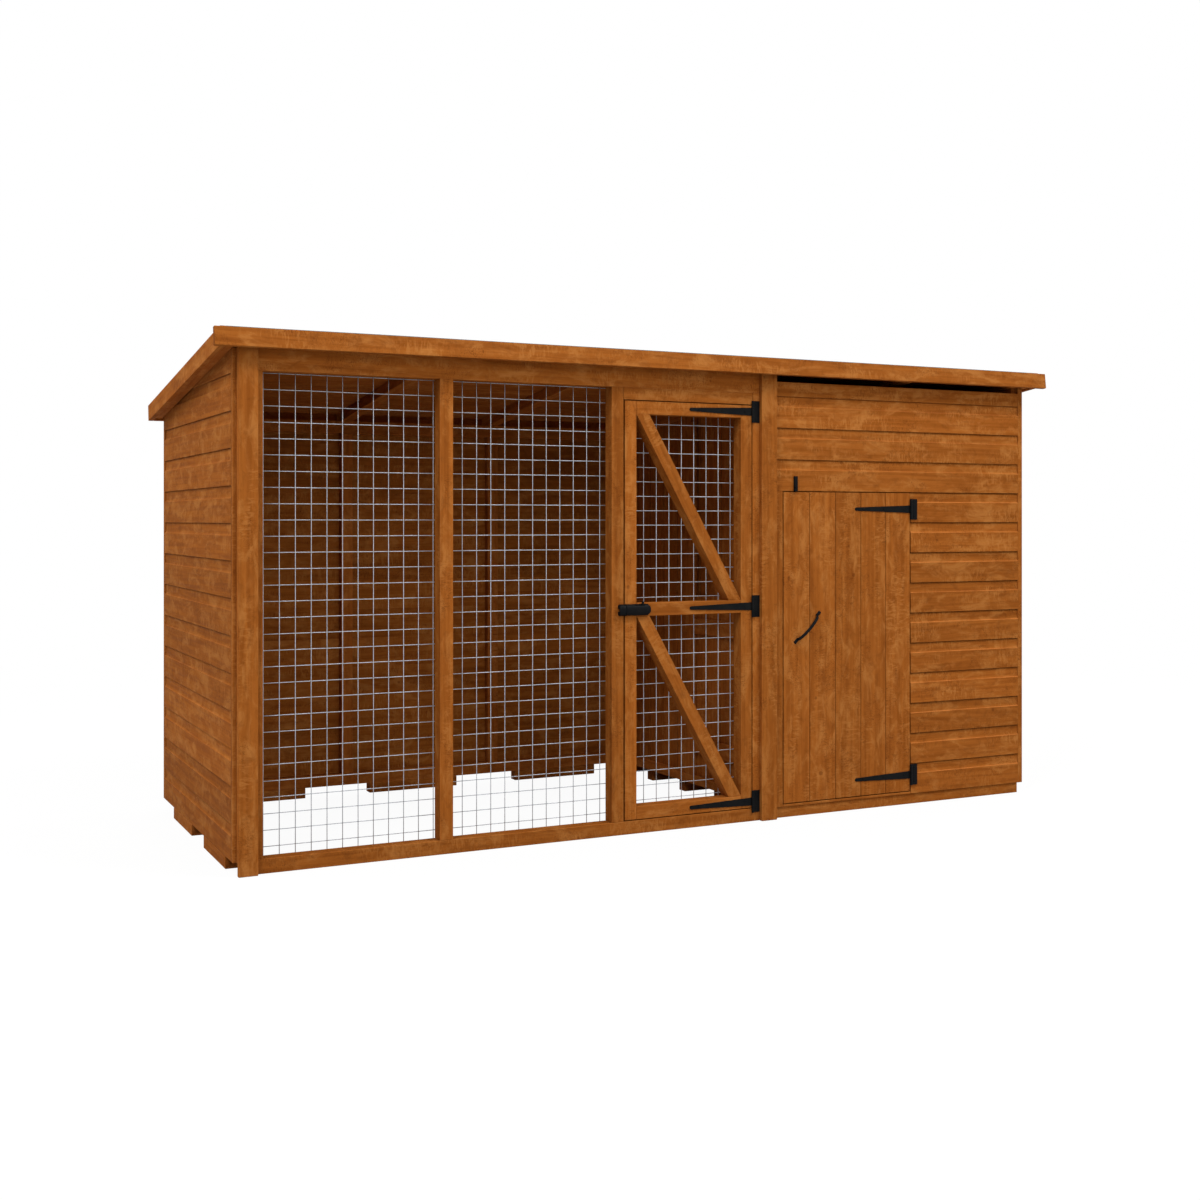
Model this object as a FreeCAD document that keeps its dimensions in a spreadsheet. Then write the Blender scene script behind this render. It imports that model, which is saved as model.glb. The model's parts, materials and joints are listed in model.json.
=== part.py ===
"""Wooden pet house with a wire run beside it, both under one pent roof that falls to the back.

Millimetres. +X runs along the front from the run to the house, +Y to the back, +Z up. The origin
is on the ground, under the middle of the whole object.
"""
import FreeCAD, Part
import os
import re
import Sketcher

doc = FreeCAD.newDocument("pet_house_with_run")

# Driving dimensions
SIZES = {
    # overall
    "building_depth": 1171,
    "eaves_height": 1590,
    "roof_pitch": 6.8,
    # framing and cladding stock
    "framing_w": 45,
    "wall_frame_d": 32,
    "clad_t": 12,
    "board_cover": 113.5,
    "board_gap": 0.5,
    "cove_height": 32,
    "cove_depth": 5,
    "vee_joint": 2,
    "clad_setback": 10,
    # feet under the walls
    "foot_height": 39,
    "side_foot_len": 328,
    "side_foot_first": 112,
    "side_foot_pitch": 527,
    "back_foot_len": 363,
    "back_foot_first": 148,
    "back_foot_pitch": 619,
    # run front
    "front_d": 50,
    "bottom_rail_h": 45,
    "top_rail_h": 68,
    "head_rail_h": 42.5,
    "bay_left_w": 567,
    "bay_right_w": 571,
    "run_doorway_w": 515,
    "rafter_first": 653,
    "stud_pitch": 612,
    # run door
    "lock_gap": 4.5,
    "hinge_gap": 2.6,
    "door_low_gap": 3,
    "door_head_gap": 2.5,
    "mid_rail_height": 764,
    "brace_cut": 50,
    # weld mesh
    "mesh_pitch": 50,
    "wire_d": 2.5,
    "mesh_lap": 22,
    "mesh_edge_gap": 1,
    "bay_wire_first": 12.4,
    "bay_wire_low": 20,
    "door_wire_first": 49.3,
    "door_wire_low": 4.1,
    # trims
    "trim_t": 18,
    "corner_trim_w": 59,
    "mid_trim_w": 64,
    "right_strip_w": 21,
    "wall_strip_w": 25,
    # kennel front
    "kennel_post_w": 40,
    "kennel_doorway_w": 573.5,
    "courses_beside_door": 10,
    "kennel_side_w": 535.5,
    "eaves_vent": 24,
    "sill_h": 8,
    "plinth_setback": 6,
    "door_board_count": 5,
    "ledge_t": 22,
    "ledge_w": 70,
    "ledge_end_gap": 30,
    "kennel_hinge_inset": 61,
    # kennel floor
    "bearer_height": 48,
    "bearer_first": 69,
    "bearer_pitch": 266,
    "bearer_inset": 23,
    "floor_t": 14,
    "floor_board_count": 10,
    # partition and its lifting hatch
    "hatch_stud_first": 88,
    "hatch_clear_w": 382,
    "hatch_height": 700,
    "hatch_lap": 20,
    "hatch_play": 1,
    "hatch_board_count": 4,
    "bead_w": 15,
    "hatch_ledge_t": 14,
    "hatch_ledge_w": 60,
    "hatch_ledge_inset": 90,
    # roof
    "front_overhang": 42,
    "back_overhang": 25,
    "side_overhang": 42,
    "rafter_d": 38,
    "roof_board_t": 12,
    "felt_t": 2,
    "fascia_t": 18,
    "fascia_h": 57,
    "fascia_drop": 11,
    "barge_drop": 6,
    "fascia_lap": 20,
    # hinges
    "leaf_t": 2.5,
    "plate_w": 30,
    "plate_h": 77,
    "strap_len": 250,
    "strap_root_h": 28,
    "strap_tip_h": 12,
    "knuckle_r": 4.5,
    "knuckle_gap": 0.5,
    "pin_r": 2.2,
    "pin_play": 0.05,
    "seat_gap": 0.3,
    "screw_head_r": 3.5,
    "screw_head_t": 1.6,
    # bolt
    "bolt_plate_len": 90,
    "bolt_plate_h": 39,
    "bolt_plate_t": 2,
    "bolt_plate_inset": 2,
    "bolt_rod_r": 5,
    "bolt_play": 0.1,
    "bolt_wall": 3,
    "bolt_guide_len": 12,
    "bolt_guide_inset": 6,
    "bolt_knob_r": 4,
    "bolt_knob_reach": 28,
    "bolt_knob_clear": 6,
    "keep_len": 22,
    "keep_reach": 22.5,
    # handle and turn button
    "handle_height": 681,
    "handle_inset": 102,
    "handle_tilt": 45,
    "handle_bow_r": 84,
    "handle_bow_t": 6,
    "handle_w": 11,
    "handle_rise": 28,
    "handle_foot_len": 16,
    "handle_foot_t": 3,
    "button_inset": 52,
    "button_w": 13,
    "button_t": 8,
    "button_long_arm": 40,
    "button_short_arm": 15,
    "button_clear": 1.5,
    "button_screw_r": 2.5,
}

# Places worked out from the driving dimensions
PLACES = {
    "run_length": "wall_frame_d + bay_left_w + bay_right_w + run_doorway_w + 4 * framing_w",
    "kennel_length": "wall_frame_d + clad_t + kennel_post_w + kennel_doorway_w + kennel_side_w",
    "front_length": "run_length + kennel_length",
    "x_left": "-front_length / 2",
    "x_right": "front_length / 2",
    "x_bay_left": "x_left + wall_frame_d + framing_w",
    "x_mullion_left": "x_bay_left + bay_left_w",
    "x_bay_right": "x_mullion_left + framing_w",
    "x_mullion_right": "x_bay_right + bay_right_w",
    "x_doorway": "x_mullion_right + framing_w",
    "x_jamb": "x_doorway + run_doorway_w",
    "x_partition": "x_jamb + framing_w",
    "x_boards": "x_partition + wall_frame_d",
    "x_kennel": "x_boards + clad_t",
    "x_kennel_doorway": "x_kennel + kennel_post_w",
    "x_hinge_stud": "x_kennel_doorway + kennel_doorway_w",
    "x_inner_right": "x_right - wall_frame_d",
    "x_clad_end": "x_right + clad_t - right_strip_w",
    "roof_stack": "rafter_d + roof_board_t + felt_t",
    "roof_fall": "tan(roof_pitch)",
    "roof_end": "(building_depth + back_overhang) / cos(roof_pitch)",
    "reach_front": "(front_overhang + fascia_t) * cos(roof_pitch) + fascia_drop * sin(roof_pitch)",
    "reach_back": "(roof_end + fascia_t) * cos(roof_pitch) + roof_stack * sin(roof_pitch)",
    "y_front": "(reach_front - reach_back) / 2",
    "y_mesh": "y_front + front_d",
    "y_back": "y_front + building_depth",
    "y_studs": "y_back - clad_t - wall_frame_d",
    "y_side_end": "y_back - clad_t",
    "z_bay_top": "eaves_height - top_rail_h",
    "bay_clear_h": "z_bay_top - bottom_rail_h",
    "x_leaf": "x_doorway + lock_gap",
    "leaf_w": "run_doorway_w - lock_gap - hinge_gap",
    "z_leaf": "bottom_rail_h + door_low_gap",
    "z_head": "z_bay_top - head_rail_h",
    "z_leaf_top": "z_head - door_head_gap",
    "run_door_h": "z_leaf_top - z_leaf",
    "z_mid_low": "mid_rail_height - framing_w / 2",
    "kennel_clad_top": "eaves_height - eaves_vent",
    "z_upper": "foot_height + courses_beside_door * board_cover",
    "z_kennel_door": "foot_height + sill_h + door_low_gap",
    "z_kennel_door_top": "z_upper - door_head_gap",
    "x_kennel_door": "x_kennel_doorway + hinge_gap",
    "kennel_door_w": "kennel_doorway_w - 2 * hinge_gap",
    "z_partition_rail": "bearer_height + wall_frame_d",
    "bead_d": "wall_frame_d - clad_t - 2 * hatch_play",
    "y_hatch": "y_front + hatch_stud_first + framing_w",
    "y_hatch_end": "y_hatch + hatch_clear_w",
    "y_knuckle": "y_front - knuckle_r - seat_gap",
    "x_run_hinge": "x_jamb - hinge_gap / 2",
    "x_kennel_hinge": "x_hinge_stud - hinge_gap / 2",
    "knuckle_reach": "knuckle_r + seat_gap",
    "knuckle_len": "(plate_h - strap_root_h) / 2 - knuckle_gap",
    "x_bolt": "x_leaf + bolt_plate_inset",
    "bolt_wall_r": "bolt_rod_r + bolt_play + bolt_wall",
    "y_bolt": "y_front - bolt_plate_t - bolt_wall_r",
    "z_bolt_low": "mid_rail_height - bolt_plate_h / 2",
    "bolt_knob_inset": "bolt_plate_len - bolt_guide_inset - bolt_guide_len - bolt_knob_clear - bolt_knob_r",
    "x_keep": "x_doorway - keep_reach",
    "x_button": "x_kennel_doorway + button_inset",
    "z_button": "z_kennel_door_top + button_clear + button_short_arm",
}

sizes = doc.addObject("Spreadsheet::Sheet", "sizes")
for row, (name, value) in enumerate(SIZES.items(), 1):
    sizes.set(f"A{row}", name)
    sizes.set(f"B{row}", str(value))
    sizes.setAlias(f"B{row}", name)

places = doc.addObject("Spreadsheet::Sheet", "places")


def named(text):
    """Put the sheet's name before each dimension in an expression."""
    def prefix(match):
        word = match.group()
        if word in SIZES:
            return "sizes." + word
        return "places." + word if word in PLACES else word
    return re.sub(r"[a-z][a-z_]*", prefix, text)


for row, (name, formula) in enumerate(PLACES.items(), 1):
    places.set(f"A{row}", name)
    places.set(f"B{row}", "=" + named(formula).replace("places.", ""))
    places.setAlias(f"B{row}", name)
doc.recompute()


def size(name):
    """Value of a dimension, for the few shapes that are made directly."""
    return float(sizes.get(name) if name in SIZES else places.get(name))


def row(first, pitch, room):
    """Places in a row at a pitch, as many as fit in the room, each an expression from its start."""
    count = int((room - size(first)) // size(pitch)) + 1
    return [f"{first} + {index} * {pitch}" for index in range(count)]


def under_roof(y, drop="0"):
    """Expression for the height of the roof frame's underside at y, less a drop."""
    return f"eaves_height - ({y} - y_front) * roof_fall - ({drop})"


# The ways pieces are made
NODES = []
ROOF_FRAME = "placement(vector(0; y_front; eaves_height); rotation(vector(1; 0; 0); -roof_pitch))"
PLANES = {"X": "YZ_Plane", "Y": "XZ_Plane", "Z": "XY_Plane"}


def origin_feature(body, role):
    return [feature for feature in body.Origin.OriginFeatures if feature.Role == role][0]


def node(label, *pieces):
    """Name one piece, or a group of separate pieces, as a sub-part."""
    whole = pieces[0]
    if len(pieces) > 1:
        whole = doc.addObject("Part::Compound", label)
        whole.Links = list(pieces)
    whole.Label = label
    NODES.append(whole)
    return whole


def box(x, y, z, length, width, height):
    """A square-cut piece from its low corner and its sizes along X, Y and Z."""
    piece = doc.addObject("Part::Box", "timber")
    for path, text in zip(("Length", "Width", "Height"), (length, width, height)):
        piece.setExpression(path, named(text))
    for axis, text in zip("xyz", (x, y, z)):
        piece.setExpression(f".Placement.Base.{axis}", named(text))
    return piece


def rod(axis, x, y, z, radius, height):
    """A round piece that starts at a point and runs along X, Z or forward."""
    turn = {"X": (FreeCAD.Vector(0, 1, 0), 90), "Z": (FreeCAD.Vector(0, 0, 1), 0),
            "forward": (FreeCAD.Vector(1, 0, 0), 90)}[axis]
    piece = doc.addObject("Part::Cylinder", "rod")
    piece.Placement.Rotation = FreeCAD.Rotation(*turn)
    piece.setExpression("Radius", named(radius))
    piece.setExpression("Height", named(height))
    for letter, text in zip("xyz", (x, y, z)):
        piece.setExpression(f".Placement.Base.{letter}", named(text))
    return piece


def joined(*pieces):
    """Pieces of one casting or pressing made one solid."""
    whole = doc.addObject("Part::MultiFuse", "joined")
    whole.Shapes = list(pieces)
    whole.Refine = True
    return whole


def less(base, tool):
    """A piece with another cut out of it."""
    result = doc.addObject("Part::Cut", "cut")
    result.Base = base
    result.Tool = tool
    return result


def outline(body, axis, points, start="0"):
    """Closed outline of straight edges across an axis; each corner is two expressions."""
    sketch = body.newObject("Sketcher::SketchObject", "outline")
    sketch.AttachmentSupport = (origin_feature(body, PLANES[axis]), [""])
    sketch.MapMode = "FlatFace"
    side = "-1 * " if axis == "Y" else ""
    sketch.setExpression("AttachmentOffset.Base.z", named(f"{side}({start})"))
    corners = [FreeCAD.Vector(*[body.evalExpression(named(text)) for text in point], 0)
               for point in points]
    count = len(corners)
    for index, corner in enumerate(corners):
        sketch.addGeometry(Part.LineSegment(corner, corners[(index + 1) % count]))
    for index, (corner, point) in enumerate(zip(corners, points)):
        sketch.addConstraint(Sketcher.Constraint("Coincident", index, 2, (index + 1) % count, 1))
        for kind, value, text in zip(("DistanceX", "DistanceY"), corner, point):
            which = sketch.addConstraint(Sketcher.Constraint(kind, -1, 1, index, 1, value))
            sketch.setExpression(f"Constraints[{which}]", named(text))
    return sketch


def prism(axis, start, length, points, on_roof=False):
    """A piece of one section along an axis; on the roof its axes lie along and across the slope."""
    body = doc.addObject("PartDesign::Body", "timber")
    body.AllowCompound = True
    if on_roof:
        body.setExpression("Placement", named(ROOF_FRAME))
    pad = body.newObject("PartDesign::Pad", "pad")
    pad.Profile = outline(body, axis, points, start)
    pad.setExpression("Length", named(length))
    pad.Reversed = axis == "Y"
    body.Tip = pad
    return body


def rectangle(low, high, across, along):
    """Corners of a rectangle from low and high expressions of its two directions."""
    return [(low, across), (high, across), (high, along), (low, along)]


def repeat(body, axis, count, pitch):
    """Repeat a body's piece along an axis as separate pieces."""
    pattern = body.newObject("PartDesign::LinearPattern", "row")
    pattern.Originals = [body.Tip]
    pattern.Direction = (origin_feature(body, axis + "_Axis"), [""])
    pattern.setExpression("Occurrences", named(count))
    pattern.setExpression("Length", named(f"({count} - 1) * ({pitch})"))
    body.Tip = pattern
    return body


def trim(body, axis, points):
    """Cut everything inside an outline away, right through along an axis."""
    doc.recompute()
    before = body.Shape.Volume
    pocket = body.newObject("PartDesign::Pocket", "trim")
    pocket.Profile = outline(body, axis, points)
    pocket.Type = "ThroughAll"
    pocket.Midplane = True
    body.Tip = pocket
    doc.recompute()
    if not body.Shape.Volume < before:
        raise RuntimeError("a trim of " + body.Name + " cut nothing")
    return body


def above_roof():
    """Outline, across X, of all that lies above the roof frame's underside."""
    ahead = "y_front - board_cover"
    behind = "y_back + board_cover"
    far = "eaves_height + 3 * board_cover"
    return [(ahead, under_roof(ahead)), (behind, under_roof(behind)), (behind, far), (ahead, far)]


def shiplap(axis, start, length, outer, inward, low, courses):
    """Courses of cove-topped boards; inward is + or -, from the outer face into the wall."""
    high = f"{low} + board_cover - board_gap"
    cove = f"{outer} {inward} cove_depth"
    inner = f"{outer} {inward} clad_t"
    board = prism(axis, start, length, [
        (outer, low),
        (outer, f"{high} - cove_height"),
        (cove, f"{high} - cove_height + 2 * cove_depth"),
        (cove, high),
        (inner, high),
        (inner, low),
    ])
    return repeat(board, "Z", courses, "board_cover")


def wall_stud(x, y, low, drop="framing_w", width="framing_w", depth="wall_frame_d"):
    """An upright of a wall that runs back, cut to the roof slope at its top."""
    end = f"{y} + {width}"
    return prism("X", x, depth, [
        (y, low), (end, low), (end, under_roof(end, drop)), (y, under_roof(y, drop))])


def sloping_rail(x, y, end):
    """The top rail of a wall that runs back, under the roof frame."""
    return prism("X", x, "wall_frame_d", [
        (y, under_roof(y, "framing_w")), (end, under_roof(end, "framing_w")),
        (end, under_roof(end)), (y, under_roof(y))])


COURSES_TO_EAVES = "ceil((eaves_height - foot_height) / board_cover)"

# Side walls: shiplap between upright end strips, nailed outside a frame
for side, frame_x, outer, inward, clad_start in (
        ("left", "x_left", "x_left - clad_t", "+", "y_front + clad_setback + wall_strip_w"),
        ("right", "x_inner_right", "x_right + clad_t", "-", "y_front + clad_t")):
    boards = shiplap("Y", clad_start, f"y_back - wall_strip_w - ({clad_start})", outer, inward,
                     "foot_height", COURSES_TO_EAVES)
    strip_places = ["y_back - wall_strip_w"]
    if side == "left":
        strip_places.append("y_front + clad_setback")
    strips = [wall_stud("x_left - clad_t" if side == "left" else "x_right", y, "foot_height", "0",
                        "wall_strip_w", "clad_t") for y in strip_places]
    node(side + "_wall_cladding", trim(boards, "X", above_roof()), *strips)
    front = "y_front" if side == "left" else clad_start
    studs = [wall_stud(frame_x, y, "foot_height + framing_w")
             for y in (front, "y_front + building_depth / 2", "y_side_end - framing_w")]
    low_rail = box(frame_x, front, "foot_height", "wall_frame_d", f"y_side_end - ({front})", "framing_w")
    node(side + "_wall_frame", low_rail, sloping_rail(frame_x, front, "y_side_end"), *studs)

# Back wall: shiplap outside a frame whose studs stand under the rafters
boards = shiplap("X", "x_left", "front_length", "y_back", "-", "foot_height", COURSES_TO_EAVES)
node("back_wall_cladding", trim(boards, "X", above_roof()))
back_low_rail = box("x_left + wall_frame_d", "y_studs", "foot_height",
                    "front_length - 2 * wall_frame_d", "wall_frame_d", "framing_w")
back_top_rail = prism("X", "x_left + wall_frame_d", "front_length - 2 * wall_frame_d", [
    ("y_studs", under_roof("y_side_end", "framing_w")),
    ("y_side_end", under_roof("y_side_end", "framing_w")),
    ("y_side_end", under_roof("y_side_end")),
    ("y_studs", under_roof("y_studs"))])
inner_rafters = [f"x_left + {place}" for place in row(
    "rafter_first", "stud_pitch", size("front_length") - 2 * size("framing_w"))]
stud_height = under_roof("y_side_end", "framing_w") + " - foot_height - framing_w"
back_studs = [
    box(x, "y_studs", "foot_height + framing_w", "framing_w", "wall_frame_d", stud_height)
    for x in ["x_left + wall_frame_d", "x_inner_right - framing_w"] + inner_rafters]
node("back_wall_frame", back_low_rail, back_top_rail, *back_studs)

# Feet: short blocks that lift the walls off the ground
side_places = row("side_foot_first", "side_foot_pitch", size("building_depth") - size("side_foot_len"))
side_feet = [
    box(x, f"y_front + {place}", "0", "wall_frame_d + clad_t", "side_foot_len", "foot_height")
    for x in ("x_left - clad_t", "x_inner_right") for place in side_places]
back_places = row("back_foot_first", "back_foot_pitch", size("front_length") - size("back_foot_len"))
back_feet = [
    box(f"x_left + {place}", "y_studs", "0", "back_foot_len", "wall_frame_d + clad_t", "foot_height")
    for place in back_places]
node("wall_feet", *side_feet, *back_feet)

# Run front: a frame of rails and uprights that carries the mesh
run_start = "x_left + wall_frame_d"
run_span = "x_partition - x_left - wall_frame_d"
node("front_bottom_rail", box(run_start, "y_front", "0", run_span, "front_d", "bottom_rail_h"))
node("front_top_rail", prism("X", run_start, run_span, [
    ("y_front", "z_bay_top"), ("y_mesh", "z_bay_top"),
    ("y_mesh", under_roof("y_mesh")), ("y_front", under_roof("y_front"))]))
for label, x in (("front_left_stile", run_start), ("left_mullion", "x_mullion_left"),
                 ("right_mullion", "x_mullion_right")):
    node(label, box(x, "y_front", "bottom_rail_h", "framing_w", "front_d", "bay_clear_h"))
node("run_door_frame",
     box("x_jamb", "y_front", "bottom_rail_h", "framing_w", "front_d", "bay_clear_h"),
     box("x_doorway", "y_front", "z_head", "run_doorway_w", "front_d", "z_bay_top - z_head"))


def mesh_lines(low, high, first):
    """Wire positions on a grid between two cut edges, with a wire along each edge."""
    pitch = size("mesh_pitch")
    clear = 2 * size("wire_d")
    start = first - pitch * ((first - low) // pitch)
    count = int((high - start) // pitch) + 1
    grid = [start + index * pitch for index in range(count)]
    return [low] + [place for place in grid if low + clear < place < high - clear] + [high]


def mesh_sheet(label, low, high, first):
    """Welded wire as one pierced sheet, two wires thick, behind the frame; corners are (x, z)."""
    columns = mesh_lines(low[0], high[0], first[0])
    rows = mesh_lines(low[1], high[1], first[1])
    half = size("wire_d") / 2
    y = size("y_mesh")

    def ring(left, bottom, right, top):
        corners = ((left, bottom), (right, bottom), (right, top), (left, top), (left, bottom))
        return Part.makePolygon([FreeCAD.Vector(x, y, z) for x, z in corners])

    edge = ring(columns[0] - half, rows[0] - half, columns[-1] + half, rows[-1] + half)
    gaps = [ring(right - half, bottom + half, left + half, top - half)
            for left, right in zip(columns, columns[1:]) for bottom, top in zip(rows, rows[1:])]
    face = Part.Face([edge] + gaps)
    sheet = doc.addObject("Part::Feature", label)
    sheet.Shape = face.extrude(FreeCAD.Vector(0, 2 * size("wire_d"), 0))
    return node(label, sheet)


lap = size("mesh_lap")
wire_grid = (size("x_bay_left") + size("bay_wire_first"), size("bay_wire_low"))
mullion_middle = size("x_mullion_left") + size("framing_w") / 2
sheet_low = size("bottom_rail_h") - lap
sheet_high = size("z_bay_top") + lap
edge_room = size("mesh_edge_gap") + size("wire_d") / 2
mesh_sheet("left_bay_mesh", (size("x_bay_left") - lap, sheet_low),
           (mullion_middle - edge_room, sheet_high), wire_grid)
mesh_sheet("right_bay_mesh", (mullion_middle + edge_room, sheet_low),
           (size("x_mullion_right") + lap, sheet_high), wire_grid)

# Run door: a braced and ledged frame with its own mesh
node("run_door_lock_stile", box("x_leaf", "y_front", "z_leaf", "framing_w", "front_d", "run_door_h"))
node("run_door_hinge_stile",
     box("x_leaf + leaf_w - framing_w", "y_front", "z_leaf", "framing_w", "front_d", "run_door_h"))
rail_x = "x_leaf + framing_w"
rail_end = "x_leaf + leaf_w - framing_w"
rail_span = "leaf_w - 2 * framing_w"
for label, z in (("run_door_top_rail", "z_leaf_top - framing_w"), ("run_door_mid_rail", "z_mid_low"),
                 ("run_door_bottom_rail", "z_leaf")):
    node(label, box(rail_x, "y_front", z, rail_span, "front_d", "framing_w"))
for label, low, high in (
        ("run_door_upper_brace", "z_mid_low + framing_w", "z_leaf_top - framing_w"),
        ("run_door_lower_brace", "z_leaf + framing_w", "z_mid_low")):
    node(label, prism("Y", "y_front", "front_d", [
        (rail_x, high), (f"{rail_end} - brace_cut", low), (rail_end, low),
        (f"{rail_x} + brace_cut", high)]))
leaf_left = size("x_leaf")
leaf_low = size("z_leaf")
mesh_sheet("run_door_mesh", (leaf_left + lap, leaf_low + lap),
           (leaf_left + size("leaf_w") - lap, size("z_leaf_top") - lap),
           (leaf_left + size("door_wire_first"), leaf_low + size("door_wire_low")))

# Cover trims over the joints between the panels
node("left_corner_trim", box("x_left", "y_front - trim_t", "0", "corner_trim_w", "trim_t",
                             under_roof("y_front", "seat_gap")))
node("mid_trim", box("x_run_hinge + plate_w + seat_gap", "y_front - trim_t", "0", "mid_trim_w", "trim_t",
                     under_roof("y_front", "seat_gap")))
node("right_corner_strip", box("x_clad_end", "y_front", "foot_height", "right_strip_w", "clad_t",
                               under_roof("y_front + clad_t") + " - foot_height"))

# Kennel front: frame, sill and plinth with shiplap over them
clad_back = "y_front + clad_t"
frame_d = "front_d - clad_t"
stud_h = "kennel_clad_top - framing_w - foot_height"
node("kennel_front_frame",
     box("x_kennel", clad_back, "foot_height", "kennel_post_w", frame_d, stud_h),
     box("x_hinge_stud", clad_back, "foot_height", "framing_w", frame_d, stud_h),
     box("x_inner_right - framing_w", clad_back, "foot_height", "framing_w", frame_d, stud_h),
     box("x_kennel", clad_back, "kennel_clad_top - framing_w", "x_inner_right - x_kennel", frame_d,
         "framing_w"),
     box("x_kennel_doorway", clad_back, "z_upper", "kennel_doorway_w", frame_d, "framing_w"),
     box("x_hinge_stud + framing_w", clad_back, "foot_height",
         "x_inner_right - x_hinge_stud - 2 * framing_w", frame_d, "framing_w"))
upper = shiplap("X", "x_kennel", "x_clad_end - x_kennel", "y_front", "+", "z_upper",
                "ceil((kennel_clad_top - z_upper) / board_cover)")
node("kennel_upper_cladding", trim(upper, "X", rectangle(
    "y_front - clad_t", "y_front + 2 * clad_t", "kennel_clad_top", "kennel_clad_top + board_cover")))
node("kennel_side_cladding", shiplap("X", "x_hinge_stud", "x_clad_end - x_hinge_stud", "y_front", "+",
                                     "foot_height", "courses_beside_door"))
node("kennel_jamb_strip", box("x_kennel", "y_front", "foot_height", "kennel_post_w", "clad_t",
                              "z_upper - foot_height"))
node("kennel_door_sill", box("x_kennel_doorway", "y_front", "foot_height", "kennel_doorway_w",
                             "front_d", "sill_h"))
node("kennel_plinth", box("x_kennel", "y_front + plinth_setback", "0", "x_clad_end - x_kennel",
                          "wall_frame_d", "foot_height"))

# Kennel floor: boards on bearers that show under the partition
bearer_x = "x_partition + bearer_inset"
bearer_room = size("y_studs") - size("y_front") - 2 * size("framing_w")
bearer_places = [f"y_front + {place}" for place in row("bearer_first", "bearer_pitch", bearer_room)]
bearer_places.append("y_studs - framing_w")
node("floor_bearers", *[box(bearer_x, y, "0", f"x_inner_right - ({bearer_x})", "framing_w", "bearer_height")
                        for y in bearer_places])
floor_pitch = "(x_inner_right - x_kennel) / floor_board_count"
floor_board = prism("Z", "bearer_height", "floor_t", rectangle(
    "x_kennel", f"x_kennel + {floor_pitch} - board_gap", "y_mesh", "y_studs"))
node("floor_boards", repeat(floor_board, "X", "floor_board_count", floor_pitch))


def matchboard(axis, start, length, low, pitch, face, inward):
    """One upright board with a vee along each edge of its outer face; start to length is its height."""
    high = f"{low} + {pitch} - board_gap"
    inner = f"{face} {inward} clad_t"
    sunk = f"{face} {inward} vee_joint"
    points = [(low, sunk), (f"{low} + vee_joint", face), (f"{high} - vee_joint", face), (high, sunk),
              (high, inner), (low, inner)]
    if axis == "Y":
        points = [(across, along) for along, across in points]
    return prism("Z", start, length, points)


# Partition between run and kennel: upright boards on a frame, with a way through
partition_pitch = "(y_studs - y_front) / ceil((y_studs - y_front) / board_cover)"
boards = repeat(matchboard("Y", "bearer_height", "eaves_height", "y_front", partition_pitch, "x_boards", "+"),
                "Y", "ceil((y_studs - y_front) / board_cover)", partition_pitch)
trim(boards, "X", above_roof())
node("partition_boards", trim(boards, "X", rectangle(
    "y_hatch + hatch_lap", "y_hatch_end - hatch_lap", "z_partition_rail",
    "z_partition_rail + hatch_height - 2 * hatch_lap")))
front_post = wall_stud("x_partition", "y_front", "0", "0")
rail_front = "y_front + framing_w"
studs = [wall_stud("x_partition", y, "z_partition_rail")
         for y in ("y_front + hatch_stud_first", "y_hatch_end", "y_studs - framing_w")]
low_rail = box("x_partition", rail_front, "bearer_height", "wall_frame_d", f"y_studs - ({rail_front})",
               "wall_frame_d")
bead_top = under_roof("y_hatch_end", "framing_w + wall_frame_d") + " - z_partition_rail"
beads = [box("x_partition", y, "z_partition_rail", "bead_d", "bead_w", bead_top)
         for y in ("y_hatch", "y_hatch_end - bead_w")]
node("partition_frame", front_post, low_rail, sloping_rail("x_partition", rail_front, "y_studs"),
     *studs, *beads)

# Lifting hatch: boards behind the beads, with ledges between them
hatch_face = "x_partition + bead_d + hatch_play"
hatch_low = "z_partition_rail + seat_gap"
hatch_pitch = "(hatch_clear_w - 2 * hatch_play) / hatch_board_count"
node("hatch_boards", repeat(
    matchboard("Y", hatch_low, "hatch_height", "y_hatch + hatch_play", hatch_pitch, hatch_face, "+"),
    "Y", "hatch_board_count", hatch_pitch))
ledge_y = "y_hatch + bead_w + hatch_play"
node("hatch_ledges", *[
    box(f"{hatch_face} - hatch_ledge_t", ledge_y, z, "hatch_ledge_t",
        "hatch_clear_w - 2 * bead_w - 2 * hatch_play", "hatch_ledge_w")
    for z in (f"{hatch_low} + hatch_ledge_inset",
              f"{hatch_low} + hatch_height - hatch_ledge_inset - hatch_ledge_w")])

# Roof: rafters behind a front batten and between side battens, with boards and felt, edged with
# fascias and bargeboards
roof_front = "-1 * front_overhang"
batten_end = f"{roof_front} + framing_w"
rafter_places = ["x_left", "x_right - framing_w"] + inner_rafters
roof_x = "x_left - side_overhang"
rafters = [prism("X", x, "framing_w", rectangle(batten_end, "roof_end", "0", "rafter_d"), True)
           for x in rafter_places]
side_battens = [
    prism("X", x, "side_overhang - clad_t", rectangle(roof_front, "roof_end", "0", "rafter_d"), True)
    for x in (roof_x, "x_right + clad_t")]
front_batten = prism("X", "x_left - clad_t", "front_length + 2 * clad_t",
                     rectangle(roof_front, batten_end, "0", "rafter_d"), True)
node("rafters", front_batten, *side_battens, *rafters)
roof_w = "front_length + 2 * side_overhang"
roof_count = "ceil((roof_end + front_overhang) / board_cover)"
roof_pitch_len = f"(roof_end + front_overhang) / {roof_count}"
roof_board = prism("X", roof_x, roof_w, rectangle(
    roof_front, f"{roof_front} + {roof_pitch_len} - board_gap", "rafter_d", "rafter_d + roof_board_t"), True)
node("roof_boards", repeat(roof_board, "Y", roof_count, roof_pitch_len))
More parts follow.
